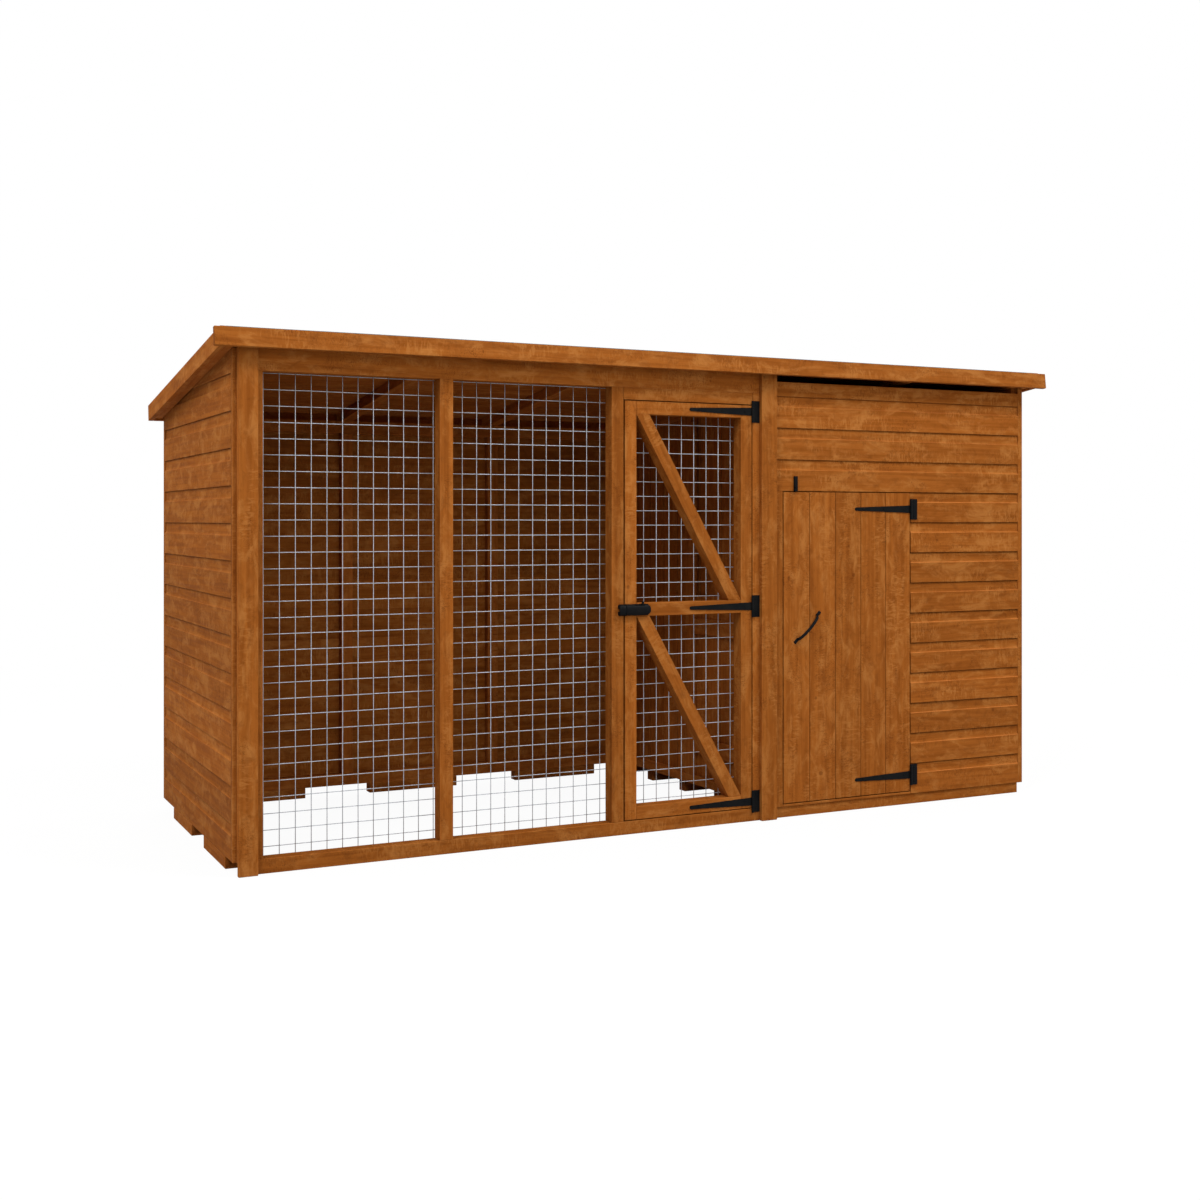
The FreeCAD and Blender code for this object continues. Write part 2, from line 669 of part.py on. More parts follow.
node("roof_felt", prism("X", roof_x, roof_w, rectangle(
    roof_front, "roof_end", "rafter_d + roof_board_t", "roof_stack"), True))
node("front_fascia", prism(
    "X", f"{roof_x} - fascia_t - fascia_lap", f"{roof_w} + 2 * fascia_t + 2 * fascia_lap",
    rectangle(f"{roof_front} - fascia_t", roof_front, "-1 * fascia_drop", "fascia_h - fascia_drop"), True))
node("back_fascia", prism("X", roof_x, roof_w, rectangle(
    "roof_end", "roof_end + fascia_t", "-1 * barge_drop", "roof_stack"), True))
for side, x in (("left", f"{roof_x} - fascia_t"), ("right", f"{roof_x} + {roof_w}")):
    node(side + "_bargeboard", prism("X", x, "fascia_t", rectangle(
        roof_front, "roof_end + fascia_t", "-1 * barge_drop", "roof_stack"), True))

# Kennel door: upright boards on two ledges
door_pitch = "kennel_door_w / door_board_count"
door_h = "z_kennel_door_top - z_kennel_door"
node("kennel_door_boards", repeat(
    matchboard("X", "z_kennel_door", door_h, "x_kennel_door", door_pitch, "y_front", "+"),
    "X", "door_board_count", door_pitch))
door_ledges = [f"{z} - ledge_w / 2" for z in ("z_kennel_door + kennel_hinge_inset",
                                              "z_kennel_door_top - kennel_hinge_inset")]
node("kennel_door_ledges", *[
    box("x_kennel_door + ledge_end_gap", clad_back, z, "kennel_door_w - 2 * ledge_end_gap", "ledge_t",
        "ledge_w")
    for z in door_ledges])


def hinge_plate(x, z):
    """Fixed leaf of a T-hinge with a knuckle above and below the strap's."""
    low = f"{z} - plate_h / 2"
    leaf = box(f"{x} + knuckle_reach", "y_front - leaf_t", low, "plate_w - knuckle_reach", "leaf_t",
               "plate_h")
    pieces = [leaf]
    for start in (low, f"{z} + strap_root_h / 2 + knuckle_gap"):
        pieces.append(rod("Z", x, "y_knuckle", start, "knuckle_r", "knuckle_len"))
        pieces.append(box(x, "y_front - leaf_t", start, "knuckle_reach", "leaf_t", "knuckle_len"))
    return less(joined(*pieces), rod("Z", x, "y_knuckle", low, "pin_r + pin_play", "plate_h"))


def hinge_strap(x, z):
    """Long tapered leaf of a T-hinge with a round tip, on the door."""
    low = f"{z} - strap_root_h / 2"
    taper = prism("Y", "y_front - leaf_t", "leaf_t", [
        (f"{x} - knuckle_reach", low), (f"{x} - knuckle_reach", f"{z} + strap_root_h / 2"),
        (f"{x} - strap_len", f"{z} + strap_tip_h / 2"), (f"{x} - strap_len", f"{z} - strap_tip_h / 2")])
    tip = rod("forward", f"{x} - strap_len", "y_front", z, "strap_tip_h / 2", "leaf_t")
    knuckle = rod("Z", x, "y_knuckle", low, "knuckle_r", "strap_root_h")
    neck = box(f"{x} - knuckle_reach", "y_front - leaf_t", low, "knuckle_reach", "leaf_t", "strap_root_h")
    return less(joined(taper, tip, knuckle, neck),
                rod("Z", x, "y_knuckle", low, "pin_r + pin_play", "strap_root_h"))


def screw_head(x, z, face="y_front - leaf_t"):
    return rod("forward", x, face, z, "screw_head_r", "screw_head_t")


def plate_screws(x, z):
    across = f"{x} + (plate_w + knuckle_reach) / 2"
    return [screw_head(across, f"{z} {way} plate_h / 3") for way in "+-"]


def strap_screws(x, z):
    return [screw_head(f"{x} - strap_len * {part} / 8", z) for part in (1, 4, 7)]


# Hinges of both doors
run_hinges = [("x_run_hinge", z) for z in (
    "z_leaf + framing_w / 2", "mid_rail_height", "z_leaf_top - framing_w / 2")]
kennel_hinges = [("x_kennel_hinge", z) for z in (
    "z_kennel_door + kennel_hinge_inset", "z_kennel_door_top - kennel_hinge_inset")]
node("hinge_plates", *[hinge_plate(x, z) for x, z in run_hinges + kennel_hinges])
node("hinge_pins", *[rod("Z", x, "y_knuckle", f"{z} - plate_h / 2", "pin_r", "plate_h")
                     for x, z in run_hinges + kennel_hinges])
node("run_hinge_straps", *[hinge_strap(x, z) for x, z in run_hinges])
node("kennel_hinge_straps", *[hinge_strap(x, z) for x, z in kennel_hinges])
node("hinge_plate_screws", *[screw for x, z in run_hinges + kennel_hinges for screw in plate_screws(x, z)])
node("run_strap_screws", *[screw for x, z in run_hinges for screw in strap_screws(x, z)])
node("kennel_strap_screws", *[screw for x, z in kennel_hinges for screw in strap_screws(x, z)])


# Barrel bolt of the run door
def bolt_guide(x, length):
    """Round housing for the bolt's rod on a flat foot that reaches the back plate's face."""
    foot = box(x, "y_bolt", "mid_rail_height - bolt_wall_r", length, "bolt_wall_r", "2 * bolt_wall_r")
    return joined(rod("X", x, "y_bolt", "mid_rail_height", "bolt_wall_r", length), foot)


def rod_bore(x, length):
    return rod("X", x, "y_bolt", "mid_rail_height", "bolt_rod_r + bolt_play", length)


plate = box("x_bolt", "y_front - bolt_plate_t", "z_bolt_low", "bolt_plate_len", "bolt_plate_t",
            "bolt_plate_h")
guides = [bolt_guide(x, "bolt_guide_len") for x in (
    "x_bolt + bolt_guide_inset", "x_bolt + bolt_plate_len - bolt_guide_inset - bolt_guide_len")]
node("bolt_plate", less(joined(plate, *guides), rod_bore("x_bolt", "bolt_plate_len")))
shank = rod("X", "x_bolt", "y_bolt", "mid_rail_height", "bolt_rod_r", "bolt_plate_len")
knob = rod("Z", "x_bolt + bolt_knob_inset", "y_bolt", "mid_rail_height", "bolt_knob_r", "bolt_knob_reach")
node("bolt_rod", joined(shank, knob))
keep_plate = box("x_keep", "y_front - bolt_plate_t", "z_bolt_low", "keep_len", "bolt_plate_t", "bolt_plate_h")
node("bolt_keep", less(joined(keep_plate, bolt_guide("x_keep", "keep_len")), rod_bore("x_keep", "keep_len")))

# Bow handle of the kennel door, set at a slant
handle = doc.addObject("PartDesign::Body", "handle")
handle.setExpression("Placement", named(
    "placement(vector(x_kennel_door + handle_inset; y_front; handle_height);"
    " rotation(vector(0; 1; 0); -handle_tilt) * rotation(vector(1; 0; 0); 180))"))
bow = handle.newObject("Sketcher::SketchObject", "bow")
bow.AttachmentSupport = (origin_feature(handle, "XY_Plane"), [""])
bow.MapMode = "FlatFace"
for index, radius in enumerate(("handle_bow_r", "handle_bow_r - handle_bow_t")):
    middle = FreeCAD.Vector(0, size("handle_rise") - size("handle_bow_r"), 0)
    value = handle.evalExpression(named(radius))
    bow.addGeometry(Part.Circle(middle, FreeCAD.Vector(0, 0, 1), value))
    bow.addConstraint(Sketcher.Constraint("PointOnObject", index, 3, -2))
    for kind, points, datum, text in (
            ("DistanceY", (-1, 1, index, 3), middle.y, "handle_rise - handle_bow_r"),
            ("Radius", (index,), value, radius)):
        which = bow.addConstraint(Sketcher.Constraint(kind, *points, datum))
        bow.setExpression(f"Constraints[{which}]", named(text))
ring = handle.newObject("PartDesign::Pad", "ring")
ring.Profile = bow
ring.setExpression("Length", named("handle_w"))
ring.Midplane = True
handle.Tip = ring
trim(handle, "Z", rectangle("-2 * handle_bow_r", "2 * handle_bow_r", "-2 * handle_bow_r", "0"))
half_chord = "sqrt(handle_bow_r ^ 2 - (handle_bow_r - handle_rise) ^ 2)"
for inner, outer in ((f"{half_chord} - handle_bow_t", f"{half_chord} + handle_foot_len"),
                     (f"-1 * ({half_chord} + handle_foot_len)", f"handle_bow_t - {half_chord}")):
    foot = handle.newObject("PartDesign::Pad", "foot")
    foot.Profile = outline(handle, "Z", rectangle(inner, outer, "0", "handle_foot_t"))
    foot.setExpression("Length", named("handle_w"))
    foot.Midplane = True
    handle.Tip = foot
node("kennel_door_handle", handle)

# Turn button above the kennel door, on one screw
button_back = "y_front - seat_gap"
button = box("x_button - button_w / 2", f"{button_back} - button_t", "z_button - button_short_arm",
             "button_w", "button_t", "button_short_arm + button_long_arm")
node("turn_button", less(button, rod("forward", "x_button", button_back, "z_button",
                                     "button_screw_r + pin_play", "button_t")))
screw_shank = rod("forward", "x_button", "y_front", "z_button", "button_screw_r", "button_t + 2 * seat_gap")
screw_top = rod("forward", "x_button", "y_front - button_t - 2 * seat_gap", "z_button",
                "2 * button_screw_r", "screw_head_t")
node("turn_button_screw", joined(screw_shank, screw_top))

# Check every object, then write each sub-part
doc.recompute()
for item in doc.Objects:
    if "Invalid" in item.State or "Error" in item.State:
        raise RuntimeError("failed: " + item.Label)
for piece in NODES:
    if piece.Shape.isNull() or not piece.Shape.isValid():
        raise RuntimeError("bad shape: " + piece.Label)
os.makedirs("parts", exist_ok=True)
for piece in NODES:
    piece.Shape.exportStep(f"parts/{piece.Label}.step")
print(len(NODES), "sub-parts written")
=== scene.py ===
"""Dresses the pet house with run: boarded kennel, weld-mesh run and pent roof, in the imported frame."""
import json
import math

import bpy
import numpy as np
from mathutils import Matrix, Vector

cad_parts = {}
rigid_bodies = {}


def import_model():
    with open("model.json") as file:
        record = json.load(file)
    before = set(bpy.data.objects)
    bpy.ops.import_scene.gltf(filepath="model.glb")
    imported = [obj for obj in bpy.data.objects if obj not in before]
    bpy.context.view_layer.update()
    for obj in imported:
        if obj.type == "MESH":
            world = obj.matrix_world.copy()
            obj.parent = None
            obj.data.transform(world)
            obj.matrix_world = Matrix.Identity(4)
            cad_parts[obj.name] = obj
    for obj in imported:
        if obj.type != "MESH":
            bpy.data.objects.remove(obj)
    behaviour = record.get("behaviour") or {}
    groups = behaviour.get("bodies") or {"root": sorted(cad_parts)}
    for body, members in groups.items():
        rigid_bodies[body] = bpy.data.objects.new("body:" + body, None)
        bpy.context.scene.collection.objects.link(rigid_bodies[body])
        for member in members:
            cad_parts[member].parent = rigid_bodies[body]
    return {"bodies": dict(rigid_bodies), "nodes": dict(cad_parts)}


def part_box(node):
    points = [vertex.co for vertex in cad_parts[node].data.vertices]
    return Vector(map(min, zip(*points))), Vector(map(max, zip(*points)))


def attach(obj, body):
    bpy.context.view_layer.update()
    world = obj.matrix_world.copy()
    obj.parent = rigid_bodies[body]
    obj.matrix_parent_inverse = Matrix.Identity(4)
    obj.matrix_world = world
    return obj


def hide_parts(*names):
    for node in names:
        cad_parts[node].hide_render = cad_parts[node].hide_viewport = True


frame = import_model()

# Studio: a pale floor in a white surround, with two strong soft lamps high at the front corners and
# weaker ones in front, at both sides and behind. The camera stands level where the photograph was
# taken from.
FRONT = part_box("front_left_stile")[0][1]
scene = bpy.context.scene
scene.view_settings.view_transform = "Standard"
kept = set(frame["nodes"].values()) | set(frame["bodies"].values())
for leftover in [thing for thing in bpy.data.objects if thing not in kept]:
    bpy.data.objects.remove(leftover)
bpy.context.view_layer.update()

lens = bpy.data.cameras.new("photo_camera")
lens.lens = 43.86
lens.shift_y = -0.0665
camera = bpy.data.objects.new("photo_camera", lens)
camera.location = (-2.509, FRONT - 4.410, 1.0694)
camera.rotation_euler = (math.radians(90), 0, math.radians(-26.46))
scene.collection.objects.link(camera)
scene.camera = camera


def put(tree, kind, inputs=None, **settings):
    """Adds a node to a shader tree; inputs pairs a socket with a value or with the socket that feeds it."""
    made = tree.nodes.new(kind)
    for name, value in settings.items():
        setattr(made, name, value)
    for socket, value in (inputs or {}).items():
        if isinstance(value, bpy.types.NodeSocket):
            tree.links.new(value, made.inputs[socket])
        else:
            made.inputs[socket].default_value = value
    return made


def maths(tree, operation, *values):
    """A Math node's result."""
    return put(tree, "ShaderNodeMath", dict(enumerate(values)), operation=operation).outputs[0]


def between(tree, value, low, high):
    """0 below low, 1 above high, smooth between."""
    made = put(tree, "ShaderNodeMapRange", {"Value": value, "From Min": low, "From Max": high},
               interpolation_type="SMOOTHSTEP")
    return made.outputs[0]


def mixed(tree, share, first, second, blend="MIX"):
    """A colour mixed from two."""
    made = put(tree, "ShaderNodeMix", {0: share, 6: first, 7: second}, data_type="RGBA", blend_type=blend)
    return made.outputs[2]


def seen_directly(tree):
    """1 on rays that a viewer, a mirror or clear glass sees, 0 on those that only carry light."""
    rays = put(tree, "ShaderNodeLightPath").outputs
    shown = maths(tree, "MAXIMUM", rays["Is Camera Ray"], rays["Is Glossy Ray"])
    return maths(tree, "MAXIMUM", shown, rays["Is Transmission Ray"])


surround = bpy.data.worlds.new("white_surround")
surround.use_nodes = True
sky = surround.node_tree
sky.nodes.clear()
ambient = put(sky, "ShaderNodeBackground", {"Color": (1, 1, 1, 1), "Strength": 0.3})
backdrop = put(sky, "ShaderNodeBackground", {"Color": (1, 1, 1, 1), "Strength": 1.0})
choice = put(sky, "ShaderNodeMixShader", {0: seen_directly(sky), 1: ambient.outputs[0],
                                          2: backdrop.outputs[0]})
put(sky, "ShaderNodeOutputWorld", {"Surface": choice.outputs[0]})
scene.world = surround

FLOOR_LIT = (0.48, 0.48, 0.48, 1)
FLOOR_SEEN = (0.9, 0.9, 0.9, 1)
floor_paint = bpy.data.materials.new("studio_floor")
floor_paint.use_nodes = True
paint = floor_paint.node_tree
paint.nodes.clear()
shown = seen_directly(paint)
floor_place = put(paint, "ShaderNodeTexCoord").outputs["Object"]
far_off = put(paint, "ShaderNodeVectorMath", {0: floor_place}, operation="LENGTH").outputs["Value"]
matt = put(paint, "ShaderNodeBsdfDiffuse", {"Color": mixed(paint, shown, FLOOR_LIT, FLOOR_SEEN)})
glow = put(paint, "ShaderNodeEmission", {"Color": (1, 1, 1, 1), "Strength": 1.0})
glow_share = maths(paint, "MULTIPLY_ADD", between(paint, far_off, 2.6, 6.5), 0.05, 0.95)
layered = put(paint, "ShaderNodeMixShader", {0: maths(paint, "MULTIPLY", shown, glow_share),
                                             1: matt.outputs[0], 2: glow.outputs[0]})
put(paint, "ShaderNodeOutputMaterial", {"Surface": layered.outputs[0]})
floor_mesh = bpy.data.meshes.new("studio_floor")
floor_mesh.from_pydata([(-30, -30, 0), (30, -30, 0), (30, 30, 0), (-30, 30, 0)], [], [(0, 1, 2, 3)])
floor_mesh.materials.append(floor_paint)
floor = bpy.data.objects.new("studio_floor", floor_mesh)
scene.collection.objects.link(floor)

LIT_POINT = np.array([0.0, 0.0, 0.8])
for name, place, power, side in [
        ("front_lamp", (-0.5, -7.6, 3.8), 142, 3.0),
        ("left_front_lamp", (-4.8, -3.8, 6.8), 372, 2.6),
        ("right_front_lamp", (3.2, -4.2, 6.6), 312, 2.6),
        ("left_lamp", (-6.5, 1.0, 4.5), 135, 3.5),
        ("right_lamp", (6.5, 1.5, 4.0), 130, 3.5),
        ("back_lamp", (1.0, 6.5, 4.5), 200, 4.0)]:
    lamp = bpy.data.lights.new(name, "AREA")
    lamp.energy = power
    lamp.size = side
    holder = bpy.data.objects.new(name, lamp)
    holder.location = place
    aim = LIT_POINT - place
    holder.rotation_euler = (math.atan2(math.hypot(aim[0], aim[1]), -aim[2]), 0, math.atan2(-aim[0], aim[1]))
    scene.collection.objects.link(holder)


# Feet and bearers: short sawn blocks that keep the walls off the ground, and nearly square bearers
# under the kennel floor. Softwood dipped in brown stain, cut square, arrises just eased.
GRAIN_LEAN = 0.012
TRUNK_LENGTH = 90
PITH_NEAR = 0.05
PITH_FAR = 0.11
EASE = 0.0016
MID_EASE = 0.293
END_DRAW = 0.9
# colour of dark vee joints, and of painted shade in gaps, at shiplap laps and beside the upper cladding's
# trim
JOINT_DIRT_AND_SHADE = (0.022, 0.008, 0.003, 1)


def points_of(node):
    """A node's corner points."""
    mesh = frame["nodes"][node].data
    points = np.empty(len(mesh.vertices) * 3)
    mesh.vertices.foreach_get("co", points)
    return points.reshape(-1, 3)


def members(node):
    """Corner points of a node's square-cut members, 24 to each: six faces of four."""
    return points_of(node).reshape(-1, 24, 3)


def carried(rings):
    """Faces of a closed profile carried along a path: a quad between neighbours on two rings, a cap at
    each end. They are turned round where the volumes that they span from the middle sum below 0."""
    stations, around = rings.shape[:2]
    here = np.arange(stations * around).reshape(stations, around)
    after = np.roll(here, -1, axis=1)
    sides = np.stack([here[:-1], after[:-1], after[1:], here[1:]], axis=-1).reshape(-1, 4)
    points = rings.reshape(-1, 3)
    a, b, c, d = np.moveaxis((points - points.mean(axis=0))[sides], 1, 0)
    spanned = np.sum(a * np.cross(b, c)) + np.sum(a * np.cross(c, d))
    faces = sides.tolist() + [here[0, ::-1].tolist(), here[-1].tolist()]
    return faces if spanned > 0 else [face[::-1] for face in faces]


def grained(rings, along, thick, wide, arris, end, seed):
    """A board's points and faces, with the place of each point in the log that it was sawn from (metres
    along the trunk, then across from the pith) and its tone, end grain and arris."""
    chance = np.random.default_rng(seed)
    lean = chance.normal(0, GRAIN_LEAN, 2)
    log = np.stack([along + chance.uniform(0, TRUNK_LENGTH),
                    thick + lean[0] * along + chance.uniform(PITH_NEAR, PITH_FAR),
                    wide + lean[1] * along + chance.uniform(-PITH_NEAR, PITH_NEAR)], axis=-1)
    tone = np.full(along.shape, np.clip(chance.normal(0, 0.5), -1, 1))
    make = np.stack([tone, end + 0 * along, arris + 0 * along], axis=-1)
    return {"points": rings.reshape(-1, 3), "faces": carried(rings),
            "grain": log.reshape(-1, 3), "make": make.reshape(-1, 3)}


def sawn(low, high, seed, ease=EASE, place=None, edge=0.45):
    """A sawn member: a rectangle with eased arrises carried along its longest side. A corner of the ring
    is a centre plus the ease times (cosine, sine); towards each end the ring draws in along a quarter
    circle. The edge mark is above 0 where the arris is rubbed pale and below 0 where it is half of a
    dark joint."""
    size = np.subtract(high, low)
    length = int(np.argmax(size))
    b, c = (length + 1) % 3, (length + 2) % 3
    turn = np.radians([0, 45, 90, 90, 135, 180, 180, 225, 270, 270, 315, 360])
    side_b = np.sign(np.cos(np.radians([45] * 3 + [135] * 3 + [225] * 3 + [315] * 3)))
    side_c = np.sign(np.sin(np.radians([45] * 3 + [135] * 3 + [225] * 3 + [315] * 3)))
    drawn = ease * np.array([END_DRAW, MID_EASE, 0, 0, MID_EASE, END_DRAW])[:, None]
    reach = ease * np.array([0, MID_EASE, 1])
    steps = np.concatenate([low[length] + reach, high[length] - reach[::-1]])[:, None]
    middle = (np.asarray(low) + high) / 2
    rings = np.empty((6, 12, 3))
    rings[:, :, length] = steps
    rings[:, :, b] = middle[b] + side_b * (size[b] / 2 - ease) + (ease - drawn) * np.cos(turn)
    rings[:, :, c] = middle[c] + side_c * (size[c] / 2 - ease) + (ease - drawn) * np.sin(turn)
    thick, wide = (b, c) if size[b] < size[c] else (c, b)
    local = rings - middle
    arris = np.tile([0.0, edge, 0.0], 4)
    end = np.array([1.0, 0.4, 0, 0, 0.4, 1.0])[:, None]
    placed = rings if place is None else place(rings)
    return grained(placed, local[:, :, length], local[:, :, thick], local[:, :, wide], arris, end, seed)


def group_of(name, inputs, outputs):
    """A new shader group with named inputs and outputs; gives the tree and its two ends."""
    tree = bpy.data.node_groups.new(name, "ShaderNodeTree")
    for socket in inputs:
        kind = "NodeSocketVector" if socket in ("Grain", "Position") else "NodeSocketFloat"
        tree.interface.new_socket(name=socket, in_out="INPUT", socket_type=kind)
    for socket in outputs:
        tree.interface.new_socket(name=socket, in_out="OUTPUT", socket_type="NodeSocketFloat")
    return tree, put(tree, "NodeGroupInput").outputs, put(tree, "NodeGroupOutput").inputs


def stretched(tree, vector, scales, detail, roughness=0.55, distortion=0.0):
    """Noise on a vector whose three parts are scaled apart."""
    scaled = put(tree, "ShaderNodeVectorMath", {0: vector, 1: scales}, operation="MULTIPLY").outputs[0]
    return put(tree, "ShaderNodeTexNoise", {"Vector": scaled, "Scale": 1.0, "Detail": detail,
                                            "Roughness": roughness, "Distortion": distortion}).outputs[0]


# growth rings round the pith, streaks, stain patches and blots along the trunk, limbs that leave
# knots, and where the fibres wave, pale curl and thin dark feathers across the grain
figure, given, result = group_of("softwood_figure", ["Grain"],
                                 ["Streak", "Patch", "Blot", "Ring", "Knot", "Fibre", "Curl", "Feather"])
part = put(figure, "ShaderNodeSeparateXYZ", {0: given["Grain"]}).outputs
angle = maths(figure, "ARCTAN2", part[2], part[1])
limb_place = put(figure, "ShaderNodeCombineXYZ", {0: maths(figure, "MULTIPLY", part[0], 3.4),
                                                  1: maths(figure, "MULTIPLY", angle, 0.36)}).outputs[0]
limb = put(figure, "ShaderNodeTexVoronoi", {"Vector": limb_place, "Scale": 1.0, "Randomness": 0.75},
           voronoi_dimensions="2D").outputs
girth = put(figure, "ShaderNodeSeparateColor", {0: limb["Color"]}).outputs[0]
knot_edge = maths(figure, "MULTIPLY_ADD", girth, 0.09, -0.066)
knot = between(figure, maths(figure, "SUBTRACT", knot_edge, limb["Distance"]), -0.010, 0.004)
swirl = between(figure, maths(figure, "MULTIPLY", limb["Distance"], -1.0), -0.15, 0.0)
sway = stretched(figure, given["Grain"], (1.7, 9, 9), 3)
radius = maths(figure, "SQRT", maths(figure, "ADD", maths(figure, "POWER", part[1], 2.0),
                                     maths(figure, "POWER", part[2], 2.0)))
bent = maths(figure, "MULTIPLY_ADD", sway, 0.03, maths(figure, "MULTIPLY_ADD", swirl, 0.006, radius))
ring = maths(figure, "POWER", maths(figure, "FRACT", maths(figure, "DIVIDE", bent, 0.0052)), 2.2)
curl_area = between(figure, stretched(figure, given["Grain"], (4, 14, 14), 2), 0.48, 0.66)
curl = stretched(figure, given["Grain"], (90, 26, 26), 3, 0.6, 1.1)
feather_area = between(figure, stretched(figure, given["Grain"], (6, 15, 15), 2), 0.48, 0.62)
crossing = stretched(figure, given["Grain"], (62, 26, 26), 3, 0.55, 1.9)
off_line = maths(figure, "ABSOLUTE", maths(figure, "SUBTRACT", crossing, 0.5))
feather = between(figure, maths(figure, "MULTIPLY", off_line, -1.0), -0.03, 0.0)
for socket, value in [
        ("Streak", stretched(figure, given["Grain"], (2.2, 70, 70), 5, 0.6, 0.35)),
        ("Patch", stretched(figure, given["Grain"], (9, 22, 22), 5, 0.65, 0.6)),
        ("Blot", between(figure, stretched(figure, given["Grain"], (26, 34, 34), 4, 0.6, 0.7), 0.5, 0.72)),
        ("Ring", ring), ("Knot", knot),
        ("Fibre", stretched(figure, given["Grain"], (16, 750, 750), 3)),
        ("Curl", maths(figure, "MULTIPLY", curl_area, between(figure, curl, 0.46, 0.64))),
        ("Feather", maths(figure, "MULTIPLY", feather_area, feather))]:
    figure.links.new(value, result[socket])

# rubbed arrises and dirty joints, and painted light: an edge marked above 0 goes pale where a coarse and a
# fine noise both let it, and one marked below 0 fills with dark stain. On shiplap hollows' arrises the pale
# is a painted highlight; at shiplap laps, on faces that shut on a neighbour and beside the upper cladding's
# trim the dark is painted shade.
rubbed, given, result = group_of("rubbed_edge", ["Position", "Edge"], ["Wear", "Grime"])
coarse = between(rubbed, stretched(rubbed, given["Position"], (9, 9, 9), 3), 0.36, 0.6)
fine = between(rubbed, stretched(rubbed, given["Position"], (140, 140, 140), 4), 0.3, 0.7)
patchy = maths(rubbed, "MULTIPLY", maths(rubbed, "MULTIPLY_ADD", fine, 0.4, 0.6),
               maths(rubbed, "MULTIPLY_ADD", coarse, 0.5, 0.5))
arris = maths(rubbed, "MAXIMUM", given["Edge"], 0.0)
rubbed.links.new(maths(rubbed, "MULTIPLY", arris, patchy), result["Wear"])
joint = maths(rubbed, "MAXIMUM", maths(rubbed, "MULTIPLY", given["Edge"], -1.0), 0.0)
filled = maths(rubbed, "MULTIPLY_ADD", fine, 0.3, 0.7)
rubbed.links.new(maths(rubbed, "MULTIPLY", joint, filled), result["Grime"])


def blank_finish(name, slot):
    """A new material with an empty shader tree, for pieces in a slot."""
    finish = bpy.data.materials.new(name)
    finish["slot"] = slot
    finish.use_nodes = True
    finish.node_tree.nodes.clear()
    return finish, finish.node_tree


def stained(name, slot, deep, honey, pale, worn_and_highlight, dark):
    """Brown-stained softwood: streaks run from deep to honey, patches and curl take less stain, blots,
    knots and ring lines darken, end grain soaks up more, rubbed arrises go pale and joints go dark. The
    same pale and dark marks also paint a highlight on shiplap arrises and shade at laps and in gaps."""
    finish, tree = blank_finish(name, slot)
    log = put(tree, "ShaderNodeAttribute", attribute_name="grain").outputs["Vector"]
    make = put(tree, "ShaderNodeSeparateXYZ", {0: put(tree, "ShaderNodeAttribute", attribute_name="make")
                                               .outputs["Vector"]}).outputs
    place = put(tree, "ShaderNodeTexCoord").outputs["Object"]
    wood = put(tree, "ShaderNodeGroup", node_tree=figure)
    tree.links.new(log, wood.inputs["Grain"])
    wood = wood.outputs
    edge_wear_and_light = put(tree, "ShaderNodeGroup", node_tree=rubbed)
    tree.links.new(place, edge_wear_and_light.inputs["Position"])
    tree.links.new(make[2], edge_wear_and_light.inputs["Edge"])
    colour = mixed(tree, between(tree, wood["Streak"], 0.3, 0.7), deep, honey)
    for mask, strength, tint in [
            (between(tree, wood["Patch"], 0.45, 0.70), 0.7, pale), (wood["Blot"], 0.28, dark),
            (wood["Feather"], 0.7, dark), (wood["Curl"], 0.55, pale), (wood["Ring"], 0.16, deep),
            (between(tree, wood["Fibre"], 0.55, 0.8), 0.22, deep), (wood["Knot"], 0.5, dark)]:
        colour = mixed(tree, maths(tree, "MULTIPLY", mask, strength), colour, tint)
    shade = maths(tree, "MULTIPLY_ADD", make[0], 0.1, 1.0)
    colour = mixed(tree, 1.0, colour, put(tree, "ShaderNodeCombineColor",
                                          {0: shade, 1: shade, 2: shade}).outputs[0], "MULTIPLY")
    for mask, strength, tint in [(make[1], 0.6, dark), (edge_wear_and_light.outputs["Wear"], 0.9, worn_and_highlight),
                                 (edge_wear_and_light.outputs["Grime"], 0.95, JOINT_DIRT_AND_SHADE)]:
        colour = mixed(tree, maths(tree, "MULTIPLY", mask, strength), colour, tint)
    relief = maths(tree, "ADD", maths(tree, "MULTIPLY", wood["Fibre"], 0.6),
                   maths(tree, "MULTIPLY", wood["Ring"], 0.5))
    bump = put(tree, "ShaderNodeBump", {"Height": relief, "Strength": 0.3, "Distance": 0.0006})
    wood_shader = put(tree, "ShaderNodeBsdfPrincipled", {
        "Base Color": colour, "Roughness": maths(tree, "MULTIPLY_ADD", wood["Streak"], 0.25, 0.62),
        "Normal": bump.outputs[0], "Specular IOR Level": 0.02})
    put(tree, "ShaderNodeOutputMaterial", {"Surface": wood_shader.outputs[0]})
    return finish


outer_stain = stained("outer_stain", "stained_timber", (0.222, 0.061, 0.0082, 1), (0.318, 0.096, 0.0148, 1),
                      (0.415, 0.158, 0.036, 1), (0.60, 0.195, 0.042, 1), (0.105, 0.026, 0.0045, 1))
# painted light: the inner stain is a lighter copy of the outer stain, for timber inside the run and kennel
# and under the roof, which the lamps reach less
inner_stain = stained("inner_stain", "inner_timber", (0.265, 0.072, 0.0105, 1), (0.375, 0.108, 0.0175, 1),
                      (0.45, 0.165, 0.038, 1), (0.48, 0.165, 0.038, 1), (0.115, 0.029, 0.005, 1))


